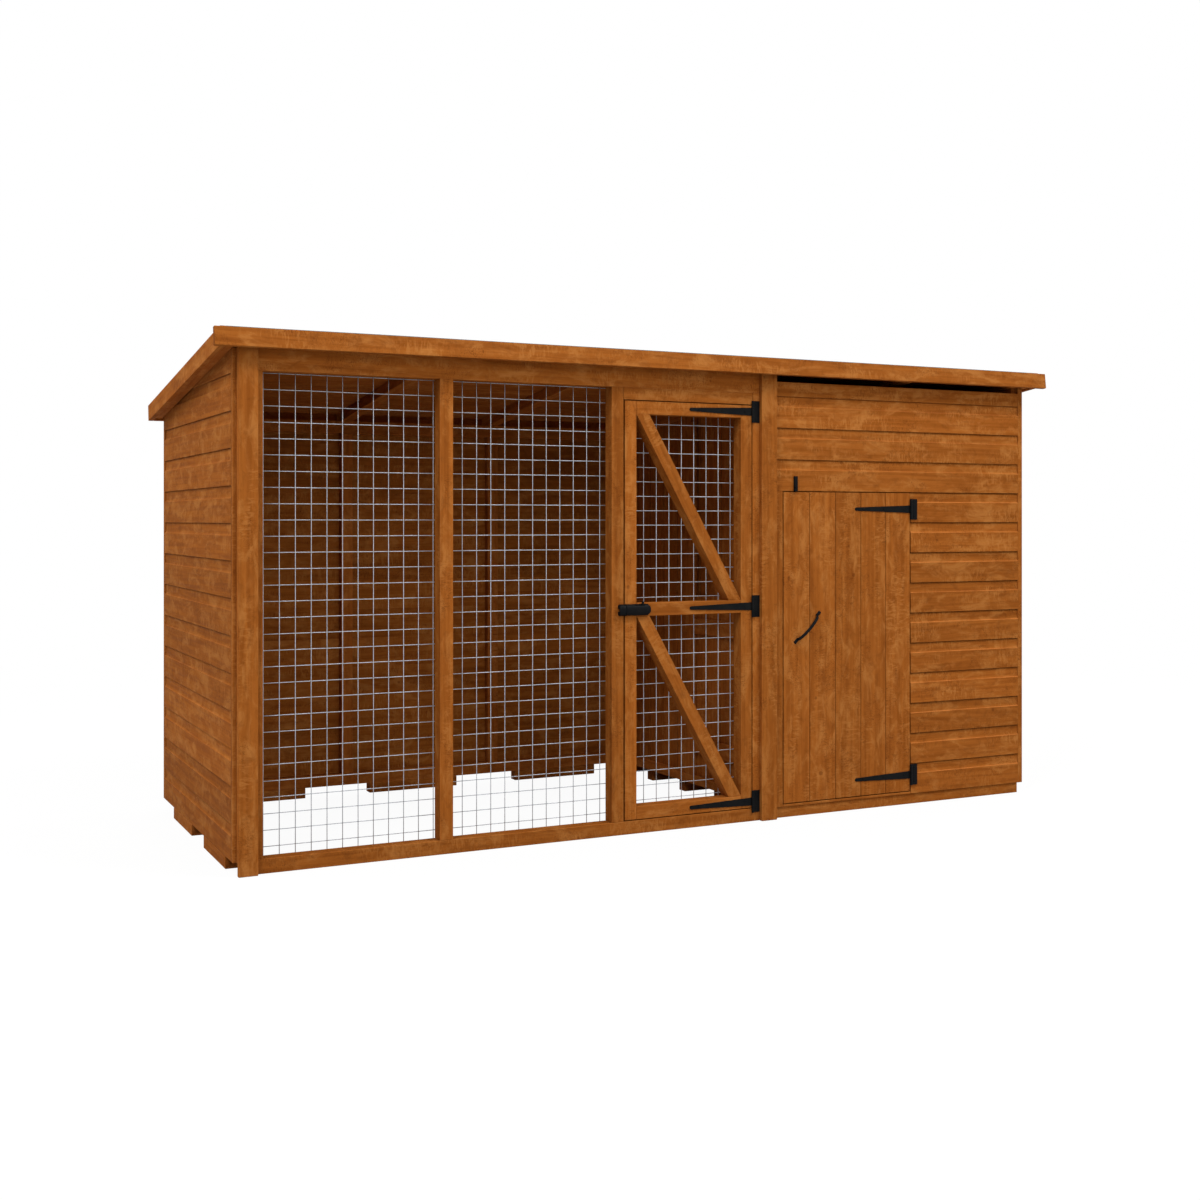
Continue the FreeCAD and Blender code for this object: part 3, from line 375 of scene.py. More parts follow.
def timber(node, boards, finish, body="house"):
    """One piece from the boards that stand for a node: points, faces, log places and marks in one mesh."""
    starts = np.cumsum([0] + [len(board["points"]) for board in boards])
    mesh = bpy.data.meshes.new(f"{node}.timber")
    mesh.from_pydata(np.concatenate([board["points"] for board in boards]), [],
                     [[corner + start for corner in face]
                      for start, board in zip(starts, boards) for face in board["faces"]])
    for mark in ("grain", "make"):
        values = np.concatenate([board[mark] for board in boards])
        mesh.attributes.new(mark, "FLOAT_VECTOR", "POINT").data.foreach_set("vector", values.ravel())
    mesh.materials.append(finish)
    piece = bpy.data.objects.new(mesh.name, mesh)
    scene.collection.objects.link(piece)
    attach(piece, body)
    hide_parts(node)


def sawn_members(node, seed, place=None):
    """Every member of a node as a sawn board, from its own corners."""
    return [sawn(corners.min(axis=0), corners.max(axis=0), seed + number, place=place)
            for number, corners in enumerate(members(node))]


timber("wall_feet", sawn_members("wall_feet", 100), outer_stain)
timber("floor_bearers", sawn_members("floor_bearers", 120), inner_stain)

# Kennel floor: planed boards laid across the bearers from front to back wall frame, nailed down.
# Their arrises are eased so that neighbours meet in a shallow vee.
timber("floor_boards", sawn_members("floor_boards", 140), inner_stain)

# Wall frames: sawn studs between a low rail and a rail under the rafters, which follows the
# roof's fall. Butted and nailed softwood in brown stain, seen from inside the run.
EAVES = 1.590
PITCH = math.radians(6.8)
TILTED_RUN = 0.3
TILTED_DROP = 0.1


def below_roof(points):
    """Cuts members off at the rafters' underside: the lesser of a point's own height and the roof's."""
    cut = points.copy()
    cut[..., 2] = np.minimum(points[..., 2], EAVES - math.tan(PITCH) * (points[..., 1] - FRONT))
    return cut


def with_fall(points):
    """Gives a level rail the roof's fall: height drops by the pitch's tangent for each metre back."""
    tilted = points.copy()
    tilted[..., 2] -= math.tan(PITCH) * (points[..., 1] - FRONT)
    return tilted


def wall_members(node, seed):
    """A wall frame's members: upright or level ones cut below the roof, tilted ones laid with its fall."""
    boards = []
    for number, corners in enumerate(members(node)):
        if np.ptp(corners[:, 1]) > TILTED_RUN and np.ptp(corners[:, 2]) > TILTED_DROP:
            levelled = corners + np.outer(math.tan(PITCH) * (corners[:, 1] - FRONT), [0, 0, 1])
            boards.append(sawn(levelled.min(axis=0), levelled.max(axis=0), seed + number, place=with_fall))
        else:
            boards.append(sawn(corners.min(axis=0), corners.max(axis=0), seed + number, place=below_roof))
    return boards


for node, seed, finish in [
        ("left_wall_frame", 200, inner_stain), ("right_wall_frame", 220, inner_stain),
        ("back_wall_frame", 240, inner_stain), ("partition_frame", 260, inner_stain),
        ("kennel_front_frame", 280, outer_stain)]:
    timber(node, wall_members(node, seed), finish)

# Shiplap cladding: planed boards laid from the bottom up and nailed to the studs, with upright
# strips at the side walls' ends. Each board has a hollow along its top edge that the next board
# laps. The dark line at the joint, over the hollow's arris, is painted shade under the lap, and the
# bright line along that arris is a painted highlight.
COURSE = 0.1135
CLAD_THICK = 0.012
HOLLOW_HIGH = 0.037
HOLLOW_DEEP = 0.005
HOLLOW_RUN = 0.010
FOOT_ROUND = 0.0015
TONGUE_EASE = 0.0008
LEAST_RISE = 0.004
NARROWEST = 0.002
END_STRIP = 0.025
STRIP_GAP = 0.0003
END_GRAIN = 0.001
# width of the painted shade on the upper cladding beside its trim, which extra stations along each shiplap
# board bound
TRIM_SHADE_WIDTH = 0.009
SIDE_FACE = 1.541
# strength of the shiplap's painted highlight and painted shade on the side walls and on the kennel's upper
# cladding
SIDE_HIGHLIGHT_AND_SHADE = 0.35
UPPER_HIGHLIGHT_AND_SHADE = 0.5
# faces this close to a plane where a door or board shuts get the mark below, painted shade for the gap
CLOSE_BY = 0.0012
GAP_SHADE_MARK = -0.5
# dark vee joints, and the painted shade beside the upper cladding's trim
DARK_JOINT_AND_SHADE = -1.0


def shiplap(start, end, bottom, top, seed, stand, marked):
    """A shiplap board: its section carried along the wall. Up the face from a rounded foot, in along a
    quarter ellipse (depth by the sine, height by one minus the cosine), up the tongue, over the top and
    down the back. The marks, a painted highlight on the hollow's arris and painted shade at the joint
    under the lap, are as strong as marked says."""
    foot = np.radians([0, 45, 90])
    sweep = np.radians(np.linspace(0, 90, 7))
    arris_at = COURSE - HOLLOW_HIGH
    depth = np.concatenate([FOOT_ROUND * (1 - np.sin(foot)), [0, 0], HOLLOW_DEEP * np.sin(sweep),
                            [HOLLOW_DEEP, HOLLOW_DEEP, HOLLOW_DEEP + TONGUE_EASE, CLAD_THICK, CLAD_THICK]])
    rise = np.concatenate([FOOT_ROUND * (1 - np.cos(foot)), [0.0035, arris_at - 0.0025],
                           arris_at + HOLLOW_RUN * (1 - np.cos(sweep)),
                           [COURSE - 0.005, COURSE - TONGUE_EASE, COURSE, COURSE, 0]])
    # painted highlight above 0 on the hollow's arris; painted shade below 0 at the board's foot and under the
    # lap
    edge = marked * np.array([-0.8, -0.4, 0, 0, 0, 1.0, 1.0, 0.3, 0, 0, 0, 0, 0, -0.8, -1.0, 0, 0])
    close = start + np.array([END_GRAIN, TRIM_SHADE_WIDTH, TRIM_SHADE_WIDTH + 0.001])
    along = np.unique(np.concatenate([np.linspace(start, end, 25), close, [end - END_GRAIN]]))
    end_grain = np.zeros(len(along))
    end_grain[[0, -1]] = 1
    grid_along, grid_depth = np.meshgrid(along, depth, indexing="ij")
    grid_rise = np.broadcast_to(np.minimum(rise, top - bottom), grid_along.shape)
    rings = stand(grid_along, grid_depth, grid_rise + bottom)
    return grained(rings, grid_along - start, grid_depth, grid_rise - COURSE / 2, edge, end_grain[:, None],
                   seed)


def side_wall(outer, inward):
    """Stands a board on a side wall, cut below the roof: along is Y, depth goes in from the outer face."""
    return lambda along, depth, height: below_roof(np.stack([outer + inward * depth, along, height], axis=-1))


def long_wall(outer, inward):
    """Stands a board on the front or back wall, cut below the roof: along is X, depth goes in."""
    return lambda along, depth, height: below_roof(np.stack([along, outer + inward * depth, height], axis=-1))


def courses(node, seed, stand, axis, marked=1.0, start_strip=0.0, end_strip=0.0):
    """A wall's boards from the bottom up, each ending at the end strip or where the roof's fall meets its
    lower edge, and the wall's end strips."""
    low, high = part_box(node)
    start, end = low[axis] + start_strip, high[axis] - end_strip
    boards = []
    for number, bottom in enumerate(np.arange(low[2], high[2] - LEAST_RISE, COURSE)):
        reach = end if axis == 0 else min(end, FRONT + (EAVES - bottom - NARROWEST) / math.tan(PITCH))
        boards.append(shiplap(start, reach, bottom, high[2], seed + number, stand, marked))
    for near, far in [(low[axis], start), (end, high[axis])]:
        if far - near > NARROWEST:
            strip = (low[0], near + STRIP_GAP, low[2]), (high[0], far - STRIP_GAP, high[2])
            boards.append(sawn(*strip, seed + 25, place=below_roof))
    return boards


boards = courses("left_wall_cladding", 300, side_wall(-SIDE_FACE, 1), 1, SIDE_HIGHLIGHT_AND_SHADE, END_STRIP, END_STRIP)
timber("left_wall_cladding", boards, outer_stain)
boards = courses("right_wall_cladding", 330, side_wall(SIDE_FACE, -1), 1, SIDE_HIGHLIGHT_AND_SHADE, 0.0, END_STRIP)
timber("right_wall_cladding", boards, outer_stain)
back_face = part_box("back_wall_cladding")[1][1]
timber("back_wall_cladding", courses("back_wall_cladding", 360, long_wall(back_face, -1), 0), outer_stain)


def paint_gap_shade(boards, axis, *places):
    """Paints shade on faces that close on a neighbour: points on planes across an axis get a dark mark,
    painted shade for the gap between them.
    """
    for board in boards:
        for place in places:
            board["make"][np.abs(board["points"][:, axis] - place) < CLOSE_BY, 2] = GAP_SHADE_MARK
    return boards


upper_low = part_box("kennel_upper_cladding")[0]
# painted shade for the gap on the upper cladding's bottom face, over the kennel door
boards = paint_gap_shade(courses("kennel_upper_cladding", 390, long_wall(FRONT, 1), 0, UPPER_HIGHLIGHT_AND_SHADE), 2, upper_low[2])
# painted shade: the upper cladding's first millimetres, beside the proud trim, are marked dark like a joint,
# for the shade that the trim casts there
for board in boards:
    board["make"][board["points"][:, 0] < upper_low[0] + TRIM_SHADE_WIDTH + 0.0005, 2] = DARK_JOINT_AND_SHADE
timber("kennel_upper_cladding", boards, outer_stain)
timber("kennel_side_cladding", courses("kennel_side_cladding", 403, long_wall(FRONT, 1), 0), outer_stain)

# Partition: upright vee-jointed boards nailed to the kennel side of a frame, with a way through
# for the animal low down, cut out of four of the boards.
PARTITION_PITCH = 0.1127
PARTITION_COUNT = 10
BOARD_GAP = 0.0005
VEE = 0.002
WAY_LOW = np.array([FRONT + 0.153, 0.080])
WAY_HIGH = np.array([FRONT + 0.495, 0.740])
low, high = (np.array(corner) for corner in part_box("partition_boards"))
boards = []
for number in range(PARTITION_COUNT):
    near = low[1] + PARTITION_PITCH * number
    far = near + PARTITION_PITCH - BOARD_GAP
    for y0, y1 in [(near, min(far, WAY_LOW[0])), (max(near, WAY_HIGH[0]), far)]:
        if y1 - y0 > NARROWEST:
            whole = (low[0], y0, low[2]), (high[0], y1, high[2])
            boards.append(sawn(*whole, 420 + number, VEE, below_roof, DARK_JOINT_AND_SHADE))
    y0, y1 = max(near, WAY_LOW[0]), min(far, WAY_HIGH[0])
    if y1 - y0 > NARROWEST:
        under = (low[0], y0, low[2]), (high[0], y1, WAY_LOW[1])
        over = (low[0], y0, WAY_HIGH[1]), (high[0], y1, high[2])
        boards.append(sawn(*under, 420 + number, VEE, None, DARK_JOINT_AND_SHADE))
        boards.append(sawn(*over, 420 + number, VEE, below_roof, DARK_JOINT_AND_SHADE))
timber("partition_boards", boards, inner_stain)

# Lifting hatch: four upright boards with two ledges screwed across them, which slides up behind
# beads on the partition's studs to open the way through.
HATCH_PITCH = 0.095


def side_by_side(node, axis, pitch, count, seed, ease, edge):
    """Upright boards across a node's box, at a pitch along one axis, with a hair's gap between them."""
    low, high = (np.array(corner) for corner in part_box(node))
    boards = []
    for number in range(count):
        near, far = low.copy(), high.copy()
        near[axis] = low[axis] + pitch * number
        far[axis] = low[axis] + pitch * (number + 1) - BOARD_GAP
        boards.append(sawn(near, far, seed + number, ease, None, edge))
    return boards


boards = side_by_side("hatch_boards", 1, HATCH_PITCH, 4, 440, VEE, DARK_JOINT_AND_SHADE)
timber("hatch_boards", boards, inner_stain, "hatch")
timber("hatch_ledges", sawn_members("hatch_ledges", 446), inner_stain, "hatch")

# Run front: planed square framing, screwed through, that holds the mesh bays, with flat cover
# trims at the left corner and where the run meets the kennel, and a narrow strip at the right.
JAMB_FACE = 0.291
DOORWAY_SIDES = (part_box("right_mullion")[1][0], JAMB_FACE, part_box("kennel_jamb_strip")[1][0])
DOORWAY_HEAD = 1.4795
for number, node in enumerate([
        "front_bottom_rail", "front_top_rail", "front_left_stile", "left_mullion", "right_mullion",
        "run_door_frame", "left_corner_trim", "mid_trim", "right_corner_strip", "kennel_jamb_strip",
        "kennel_door_sill", "kennel_plinth"]):
    boards = sawn_members(node, 500 + 7 * number, below_roof)
    if node in ("right_mullion", "run_door_frame", "kennel_jamb_strip"):
        # painted shade for the gap on the faces beside and over the run doorway
        boards = paint_gap_shade(paint_gap_shade(boards, 0, *DOORWAY_SIDES), 2, DOORWAY_HEAD)
    timber(node, boards, outer_stain)

# Run door: stiles, three rails and two braces cut to the corners, planed square and screwed,
# with the mesh stapled behind. It swings on three T-hinges at its right-hand stile.
door_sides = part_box("run_door_lock_stile")[0][0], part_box("run_door_hinge_stile")[1][0]
door_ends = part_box("run_door_top_rail")[1][2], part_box("run_door_bottom_rail")[0][2]
for number, node in enumerate([
        "run_door_hinge_stile", "run_door_lock_stile", "run_door_top_rail", "run_door_mid_rail",
        "run_door_bottom_rail"]):
    # painted shade for the gap on the run door's side, top and bottom faces
    boards = paint_gap_shade(sawn_members(node, 600 + 7 * number), 0, *door_sides)
    timber(node, paint_gap_shade(boards, 2, *door_ends), outer_stain, "run_door")


def brace(node, seed):
    """A brace: the four corners of its front face, in order of their angle round the middle, carried back
    in four rings. The first and last ring are drawn in towards the middle to ease the arrises."""
    corners = np.unique(np.round(members(node)[0], 5), axis=0)
    front = corners[corners[:, 1] < corners[:, 1].mean()]
    middle = front.mean(axis=0)
    front = front[np.argsort(np.arctan2(front[:, 2] - middle[2], front[:, 0] - middle[0]))]
    inward = middle - front
    inward *= 1.5 * EASE / np.linalg.norm(inward, axis=1)[:, None]
    depth = np.ptp(corners[:, 1])
    rings = np.stack([front + inward * drawn + np.array([0, back, 0])
                      for drawn, back in [(1, 0), (0, EASE), (0, depth - EASE), (1, depth)]])
    slant = front[np.argmax(front[:, 2])] - front[np.argmin(front[:, 2])]
    slant /= np.linalg.norm(slant)
    across = np.array([slant[2], 0, -slant[0]])
    local = rings - middle
    return grained(rings, local @ slant, local[:, :, 1], local @ across, 0.0, np.zeros((4, 1)), seed)


timber("run_door_upper_brace", [brace("run_door_upper_brace", 640)], outer_stain, "run_door")
timber("run_door_lower_brace", [brace("run_door_lower_brace", 641)], outer_stain, "run_door")

# Weld-mesh panels: drawn wire, uprights in front and cross wires behind, spot-welded where they
# cross and hot-dip galvanised. Stapled to the back of the framing.
WIRE = 0.00125
WANDER = 0.00018
STATIONS = 7


def piece_of(name, points, faces, finish, body, *nodes, smooth=True):
    """A piece from points and faces, riding on a body, in a finish's slot and standing for its nodes."""
    mesh = bpy.data.meshes.new(name)
    mesh.from_pydata(points, [], faces)
    mesh.materials.append(finish)
    if smooth:
        mesh.shade_smooth()
    piece = bpy.data.objects.new(name, mesh)
    scene.collection.objects.link(piece)
    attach(piece, body)
    if nodes:
        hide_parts(*nodes)


def gathered(shapes):
    """Several (points, faces) shapes as one."""
    starts = np.cumsum([0] + [len(points) for points, faces in shapes])
    joined = np.concatenate([points for points, faces in shapes])
    moved = [[corner + start for corner in face]
             for start, (points, faces) in zip(starts, shapes) for face in faces]
    return joined, moved


def wire(start, end, seed):
    """A drawn wire: an octagon carried from start to end, with a slight wander that fades at the ends."""
    start, end = np.array(start), np.array(end)
    way = (end - start) / np.linalg.norm(end - start)
    side = np.cross(way, (0, 1, 0))
    share = np.linspace(0, 1, STATIONS)[:, None, None]
    turn = np.radians(np.arange(0, 360, 45))[None, :, None]
    wander = np.random.default_rng(seed).normal(0, WANDER, (STATIONS, 1, 1)) * np.sin(np.pi * share)
    rings = start + (end - start) * share + side * (WIRE * np.cos(turn) + wander)
    rings = rings + np.array([0, 1, 0]) * WIRE * np.sin(turn)
    return rings.reshape(-1, 3), carried(rings)


def wire_lines(node, axis):
    """Middles of a sheet's wires across one axis: edge places that lie a wire's width apart, in pairs."""
    places = np.unique(np.round(points_of(node)[:, axis], 4))
    paired = np.flatnonzero(np.abs(np.diff(places) - 2 * WIRE) < 0.0003)
    return (places[paired] + places[paired + 1]) / 2


spangle, zinc = blank_finish("zinc_coat", "galvanised")
place = put(zinc, "ShaderNodeTexCoord").outputs["Object"]
crystals = put(zinc, "ShaderNodeTexVoronoi", {"Vector": place, "Scale": 420.0}).outputs["Color"]
crystal = put(zinc, "ShaderNodeSeparateColor", {0: crystals}).outputs[0]
dulled = between(zinc, stretched(zinc, place, (24, 24, 24), 4), 0.35, 0.7)
zinc_colour = mixed(zinc, crystal, (0.34, 0.355, 0.385, 1), (0.54, 0.56, 0.60, 1))
zinc_colour = mixed(zinc, maths(zinc, "MULTIPLY", dulled, 0.45), zinc_colour, (0.27, 0.28, 0.305, 1))
lumps = put(zinc, "ShaderNodeBump", {"Height": stretched(zinc, place, (300, 300, 300), 2), "Strength": 0.25,
                                     "Distance": 0.0003})
zinc_shader = put(zinc, "ShaderNodeBsdfPrincipled", {
    "Base Color": zinc_colour, "Metallic": 0.15, "Roughness": maths(zinc, "MULTIPLY_ADD", dulled, 0.25, 0.45),
    "Normal": lumps.outputs[0], "Specular IOR Level": 0.25})
put(zinc, "ShaderNodeOutputMaterial", {"Surface": zinc_shader.outputs[0]})

for node, body in [("left_bay_mesh", "house"), ("right_bay_mesh", "house"), ("run_door_mesh", "run_door")]:
    low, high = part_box(node)
    front_layer, back_layer = low[1] + WIRE, high[1] - WIRE
    wires = [wire((x, front_layer, low[2]), (x, front_layer, high[2]), number)
             for number, x in enumerate(wire_lines(node, 0))]
    wires += [wire((low[0], back_layer, z), (high[0], back_layer, z), 40 + number)
              for number, z in enumerate(wire_lines(node, 2))]
    piece_of(f"{node}.wires", *gathered(wires), spangle, body, node)

# Kennel door: five vee-jointed upright boards on two ledges, screwed from the back, hung on two
# T-hinges at the right. The boards' grain runs upright, so it shows against the level cladding.
DOOR_PITCH = 0.11366
DOOR_VEE = 0.0018
DOOR_MARK = -0.7
low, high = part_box("kennel_door_boards")
boards = side_by_side("kennel_door_boards", 0, DOOR_PITCH, 5, 700, DOOR_VEE, DOOR_MARK)
# painted shade for the gap on the kennel door boards' side, top and bottom faces
boards = paint_gap_shade(paint_gap_shade(boards, 0, low[0], high[0]), 2, low[2], high[2])
timber("kennel_door_boards", boards, outer_stain, "kennel_door")
timber("kennel_door_ledges", sawn_members("kennel_door_ledges", 706), outer_stain, "kennel_door")


# Roof timbers: rafters and edge battens with close boards across them, a fascia at front and back
# and a bargeboard at each side, all nailed. Planed softwood that falls to the back at a low pitch.
def up_the_roof(points):
    """CAD places to roof places: across, down the fall from the front, and up from the rafters' underside."""
    y, z = points[..., 1] - FRONT, points[..., 2] - EAVES
    return np.stack([points[..., 0], y * math.cos(PITCH) - z * math.sin(PITCH),
                     y * math.sin(PITCH) + z * math.cos(PITCH)], axis=-1)


def on_the_roof(points):
    """Roof places back to CAD places: turned about the front eaves by the pitch."""
    down, up = points[..., 1], points[..., 2]
    return np.stack([points[..., 0], FRONT + down * math.cos(PITCH) + up * math.sin(PITCH),
                     EAVES - down * math.sin(PITCH) + up * math.cos(PITCH)], axis=-1)


def roof_members(node, seed):
    """A roof node's members as sawn boards laid in the roof's own plane."""
    laid = [up_the_roof(corners) for corners in members(node)]
    return [sawn(corners.min(axis=0), corners.max(axis=0), seed + number, place=on_the_roof)
            for number, corners in enumerate(laid)]


for node, seed, finish in [
        ("rafters", 800, inner_stain), ("roof_boards", 810, inner_stain), ("front_fascia", 830, outer_stain),
        ("back_fascia", 832, outer_stain), ("left_bargeboard", 834, outer_stain),
        ("right_bargeboard", 836, outer_stain)]:
    timber(node, roof_members(node, seed), finish)

# Roofing felt: mineral-faced bitumen felt in three strips laid across the roof, each lapping the
# one below it, bedded flat and held along front, back and laps with galvanised clout nails.
LAP_SHARES = np.array([0.36, 0.70])
LAP = 0.0011
LAP_EDGE = 0.003
LAP_WIDE = 0.075
LAP_RISE = 0.012
WAVE = 0.0003
NAIL_RADIUS = 0.005
NAIL_REACH = 1.53
NAILS_ACROSS = 31
NAIL_EDGE = 0.02
NAIL_LAP = 0.03
felt_corners = up_the_roof(members("roof_felt")[0])
felt_low, felt_high = felt_corners.min(axis=0), felt_corners.max(axis=0)
lap_lines = felt_low[1] + LAP_SHARES * (felt_high[1] - felt_low[1])


def felt_sheet():
    """The felt: a flat underside and a top that rises by a lap's thickness where two strips lap, with a
    slow wave of sines, carried across the roof."""
    down = np.unique(np.concatenate([np.linspace(felt_low[1], felt_high[1], 60), lap_lines,
                                     lap_lines + LAP_EDGE]))
    across = np.linspace(felt_low[0], felt_high[0], 90)
    grid_x, grid_d = np.meshgrid(across, down, indexing="ij")
    step = sum(np.clip((line + LAP_EDGE - grid_d) / LAP_EDGE, 0, 1)
               * np.clip((grid_d - line + LAP_WIDE) / LAP_RISE, 0, 1) for line in lap_lines)
    wave = WAVE * np.sin(grid_x * 7.3 + 2 * np.sin(grid_d * 5)) * np.sin(grid_d * 11 + grid_x)
    top = np.stack([grid_x, grid_d, felt_high[2] + LAP * step + wave], axis=-1)
    under = np.stack([grid_x, grid_d, np.full_like(grid_x, felt_low[2])], axis=-1)[:, [-1, 0]]
    rings = on_the_roof(np.concatenate([top, under], axis=1))
    return rings.reshape(-1, 3), carried(rings)


felt_finish, felt = blank_finish("mineral_felt", "roofing_felt")
place = put(felt, "ShaderNodeTexCoord").outputs["Object"]
granules = put(felt, "ShaderNodeTexVoronoi", {"Vector": place, "Scale": 520.0}).outputs
granule = put(felt, "ShaderNodeSeparateColor", {0: granules["Color"]}).outputs[0]
bare = between(felt, stretched(felt, place, (5, 9, 5), 5, 0.6), 0.52, 0.72)
felt_colour = mixed(felt, granule, (0.05, 0.055, 0.052, 1), (0.13, 0.14, 0.135, 1))
felt_colour = mixed(felt, maths(felt, "MULTIPLY", bare, 0.5), felt_colour, (0.035, 0.035, 0.036, 1))
grit = put(felt, "ShaderNodeBump", {"Height": granules["Distance"], "Strength": 0.6, "Distance": 0.0008})
felt_shader = put(felt, "ShaderNodeBsdfPrincipled", {
    "Base Color": felt_colour, "Roughness": maths(felt, "MULTIPLY_ADD", granule, 0.12, 0.84),
    "Normal": grit.outputs[0], "Specular IOR Level": 0.12})
put(felt, "ShaderNodeOutputMaterial", {"Surface": felt_shader.outputs[0]})
piece_of("roof_felt.sheet", *felt_sheet(), felt_finish, "house", "roof_felt", smooth=False)


def clout(x, down, lift):
    """A clout nail's head: a disc of ten sides with a low dome, four rings at shares of its radius."""
    turn = np.radians(np.arange(0, 360, 36))
    rings = np.stack([np.stack([x + NAIL_RADIUS * share * np.cos(turn),
                                down + NAIL_RADIUS * share * np.sin(turn),
                                np.full(10, felt_high[2] + lift + rise)], axis=-1)
                      for share, rise in [(0.9, -0.001), (1.0, 0.0004), (0.75, 0.0010), (0.2, 0.0013)]])
    rings = on_the_roof(rings)
    return rings.reshape(-1, 3), carried(rings)


nail_lines = [(felt_low[1] + NAIL_EDGE, 0.0), (lap_lines[0] - NAIL_LAP, LAP), (lap_lines[1] - NAIL_LAP, LAP),
              (felt_high[1] - NAIL_EDGE, 0.0)]
nails = [clout(x, down, lift) for down, lift in nail_lines
         for x in np.linspace(-NAIL_REACH, NAIL_REACH, NAILS_ACROSS)]
piece_of("felt_nails", *gathered(nails), spangle, "house")

# Hinges, turn button and the bolt's rod: steel in a black coating, matt with a fine orange peel and
# rubbed thin in places. Hinges and button are screwed to the face of the frame and doors.
coating, black = blank_finish("black_coating", "black_steel")
place = put(black, "ShaderNodeTexCoord").outputs["Object"]
rub = between(black, stretched(black, place, (60, 60, 60), 5, 0.65), 0.56, 0.78)
peel = stretched(black, place, (700, 700, 700), 2)
dust = between(black, stretched(black, place, (18, 18, 18), 3), 0.42, 0.75)
black_colour = mixed(black, dust, (0.0030, 0.0033, 0.0038, 1), (0.0065, 0.0062, 0.006, 1))
black_colour = mixed(black, maths(black, "MULTIPLY", rub, 0.35), black_colour, (0.017, 0.016, 0.0155, 1))
skin = put(black, "ShaderNodeBump", {"Height": peel, "Strength": 0.2, "Distance": 0.0003})
black_shader = put(black, "ShaderNodeBsdfPrincipled", {
    "Base Color": black_colour, "Roughness": maths(black, "MULTIPLY_ADD", dust, 0.2, 0.5),
    "Normal": skin.outputs[0], "Specular IOR Level": 0.06})
put(black, "ShaderNodeOutputMaterial", {"Surface": black_shader.outputs[0]})
for node in ["hinge_plates", "hinge_pins", "hinge_plate_screws", "run_hinge_straps", "run_strap_screws",
             "kennel_hinge_straps", "kennel_strap_screws", "bolt_rod", "turn_button", "turn_button_screw"]:
    fittings = frame["nodes"][node].data.materials
    fittings.clear()
    fittings.append(coating)

# Bolt of the run door: a rod with an upright knob that slides in a cast housing on the door, into
# a keep of the same section on the mullion. Black-coated iron; no fixings show on it.
BOLT_HEIGHT = 0.764
ROD_AXIS = 0.0101
BORE = 0.0055
SLOT_HALF = 0.0045
SLOT_LEFT = -0.1870
SLOT_RIGHT = -0.1495
HALF_HIGH = 0.0195
PROUD = 0.0182
turn = np.radians(np.linspace(90, -90, 9))
round_bore = np.stack([ROD_AXIS + BORE * np.cos(turn), BORE * np.sin(turn)], axis=-1)
CHANNEL = np.concatenate([[(0, BORE)], round_bore, [(0, -BORE)]])
SLOTTED = CHANNEL[(CHANNEL[:, 0] > ROD_AXIS + SLOT_HALF) | (CHANNEL[:, 1] < 0)]


def across_bolt(x, outs, ups):
    """A section carried along X: points out from the frame's face and up from the rod's middle."""
    rings = np.stack(np.broadcast_arrays(np.asarray(x)[:, None], FRONT - outs, BOLT_HEIGHT + ups), axis=-1)
    return rings.reshape(-1, 3), carried(rings)


def housing(x, half_high, proud, channel, last):
    """A length of housing: half a superellipse (out by the cosine to the power 0.6, up by the sine to the
    power 0.9) from straight down to the last angle, closed round the rod's channel, which is open towards
    the door."""
    angle = np.radians(np.linspace(-90, last, 15))
    outer_out = np.outer(proud, np.cos(angle).clip(0) ** 0.6)
    outer_up = np.outer(half_high, np.sign(angle) * np.abs(np.sin(angle)) ** 0.9)
    outs = np.concatenate([outer_out, np.tile(channel[:, 0], (len(x), 1))], axis=1)
    ups = np.concatenate([outer_up, np.tile(channel[:, 1], (len(x), 1))], axis=1)
    return across_bolt(x, outs, ups)


ledge = np.array([(ROD_AXIS - SLOT_HALF, 0.0190), (0, HALF_HIGH), (0, BORE), (ROD_AXIS - SLOT_HALF, BORE)])
barrel = [housing([-0.2203, -0.2195, SLOT_LEFT], [0.0188, HALF_HIGH, HALF_HIGH], [0.0176, PROUD, PROUD],
                  CHANNEL, 90),
          housing([SLOT_LEFT, SLOT_RIGHT], [HALF_HIGH, HALF_HIGH], [PROUD, PROUD], SLOTTED, 45),
          across_bolt([SLOT_LEFT, SLOT_RIGHT], ledge[None, :, 0], ledge[None, :, 1]),
          housing([SLOT_RIGHT, -0.1350, -0.1275], [HALF_HIGH, HALF_HIGH, 0.0125], [PROUD, PROUD, 0.0168],
                  CHANNEL, 90)]
piece_of("bolt_housing", *gathered(barrel), coating, "run_door", "bolt_plate", smooth=False)
keep = housing([-0.2465, -0.2445, -0.2415, -0.2225, -0.2217], [0.0135, 0.0175, HALF_HIGH, HALF_HIGH, 0.0188],
               [0.0160, 0.0175, PROUD, PROUD, 0.0176], CHANNEL, 90)
piece_of("bolt_keep_housing", *keep, coating, "house", "bolt_keep", smooth=False)

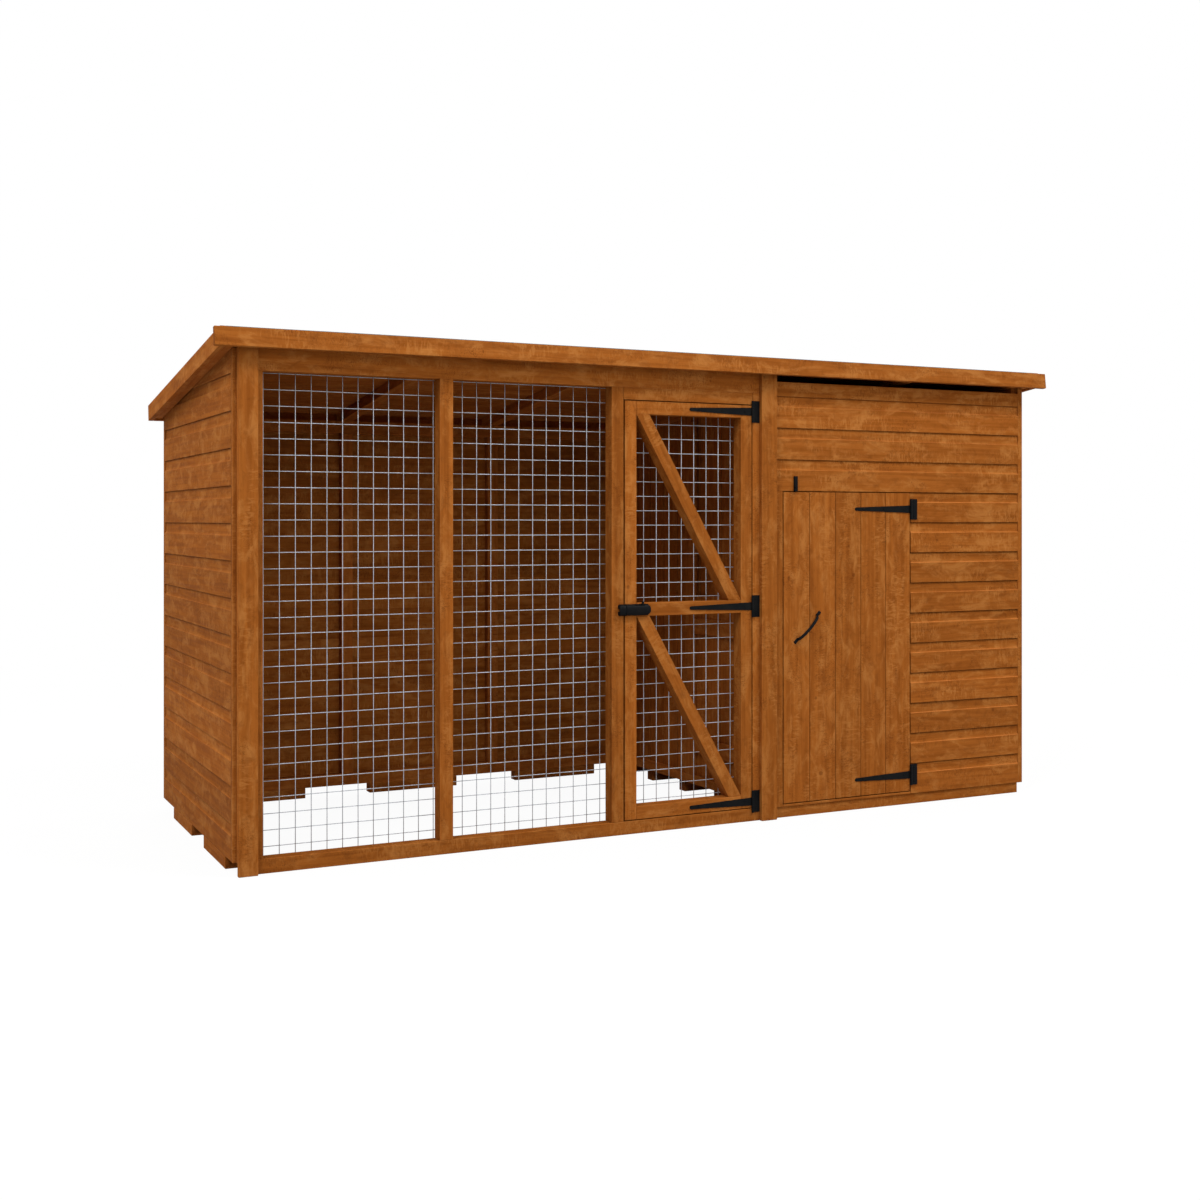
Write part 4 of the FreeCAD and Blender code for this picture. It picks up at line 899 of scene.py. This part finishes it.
# Handle of the kennel door: one bar, flattened into a foot at both ends and bowed between them, set
# at a slant. Forged mild steel in the same black coating.
HANDLE_MIDDLE = np.array([0.5246, FRONT, 0.681])
BOW_HALF = 0.0585
BOW_RISE = 0.0222
BAR_HALF_WIDE = 0.0056
BAR_HALF_THICK = 0.0042
FOOT_HALF_THICK = 0.0015
FOOT_SPREAD = 0.0004
FOOT_BLEND = 0.008
FOOT_FROM = 0.052
FOOT_START = 0.0605
FOOT_END = 0.0786
TIP = 0.0800
TIP_ROUND = 0.003


def bow_handle():
    """The bar: along the slant by s, out by half the foot's thickness plus the rise times (one minus the
    square of s over the bow's half length) to the power 0.45. An ellipse of ten points is carried along
    it, square to the line, wider and flatter over the feet."""
    bend = BOW_HALF * np.sin(np.radians(np.linspace(-90, 90, 37)))
    s = np.concatenate([np.linspace(-FOOT_END, -FOOT_START, 6), bend, np.linspace(FOOT_START, FOOT_END, 6)])
    out = FOOT_HALF_THICK + BOW_RISE * (1 - (s / BOW_HALF) ** 2).clip(0) ** 0.45
    foot = np.clip((np.abs(s) - FOOT_FROM) / FOOT_BLEND, 0, 1)
    half_wide = BAR_HALF_WIDE + FOOT_SPREAD * foot * np.clip((TIP - np.abs(s)) / TIP_ROUND, 0.3, 1)
    half_thick = BAR_HALF_THICK - (BAR_HALF_THICK - FOOT_HALF_THICK) * foot
    slope = np.gradient(out, s)
    along = np.array([1, 0, 1]) / math.sqrt(2)
    across = np.array([-1, 0, 1]) / math.sqrt(2)
    outward = np.array([0, -1, 0])
    steep = np.sqrt(1 + slope ** 2)[:, None]
    square = (outward - slope[:, None] * along) / steep
    line = HANDLE_MIDDLE + s[:, None] * along + out[:, None] * outward
    turn = np.radians(np.arange(0, 360, 36))
    rings = line[:, None] + (half_wide[:, None] * np.cos(turn))[..., None] * across
    rings = rings + (half_thick[:, None] * np.sin(turn))[..., None] * square[:, None]
    return rings.reshape(-1, 3), carried(rings)


piece_of("bow_handle", *bow_handle(), coating, "kennel_door", "kennel_door_handle")
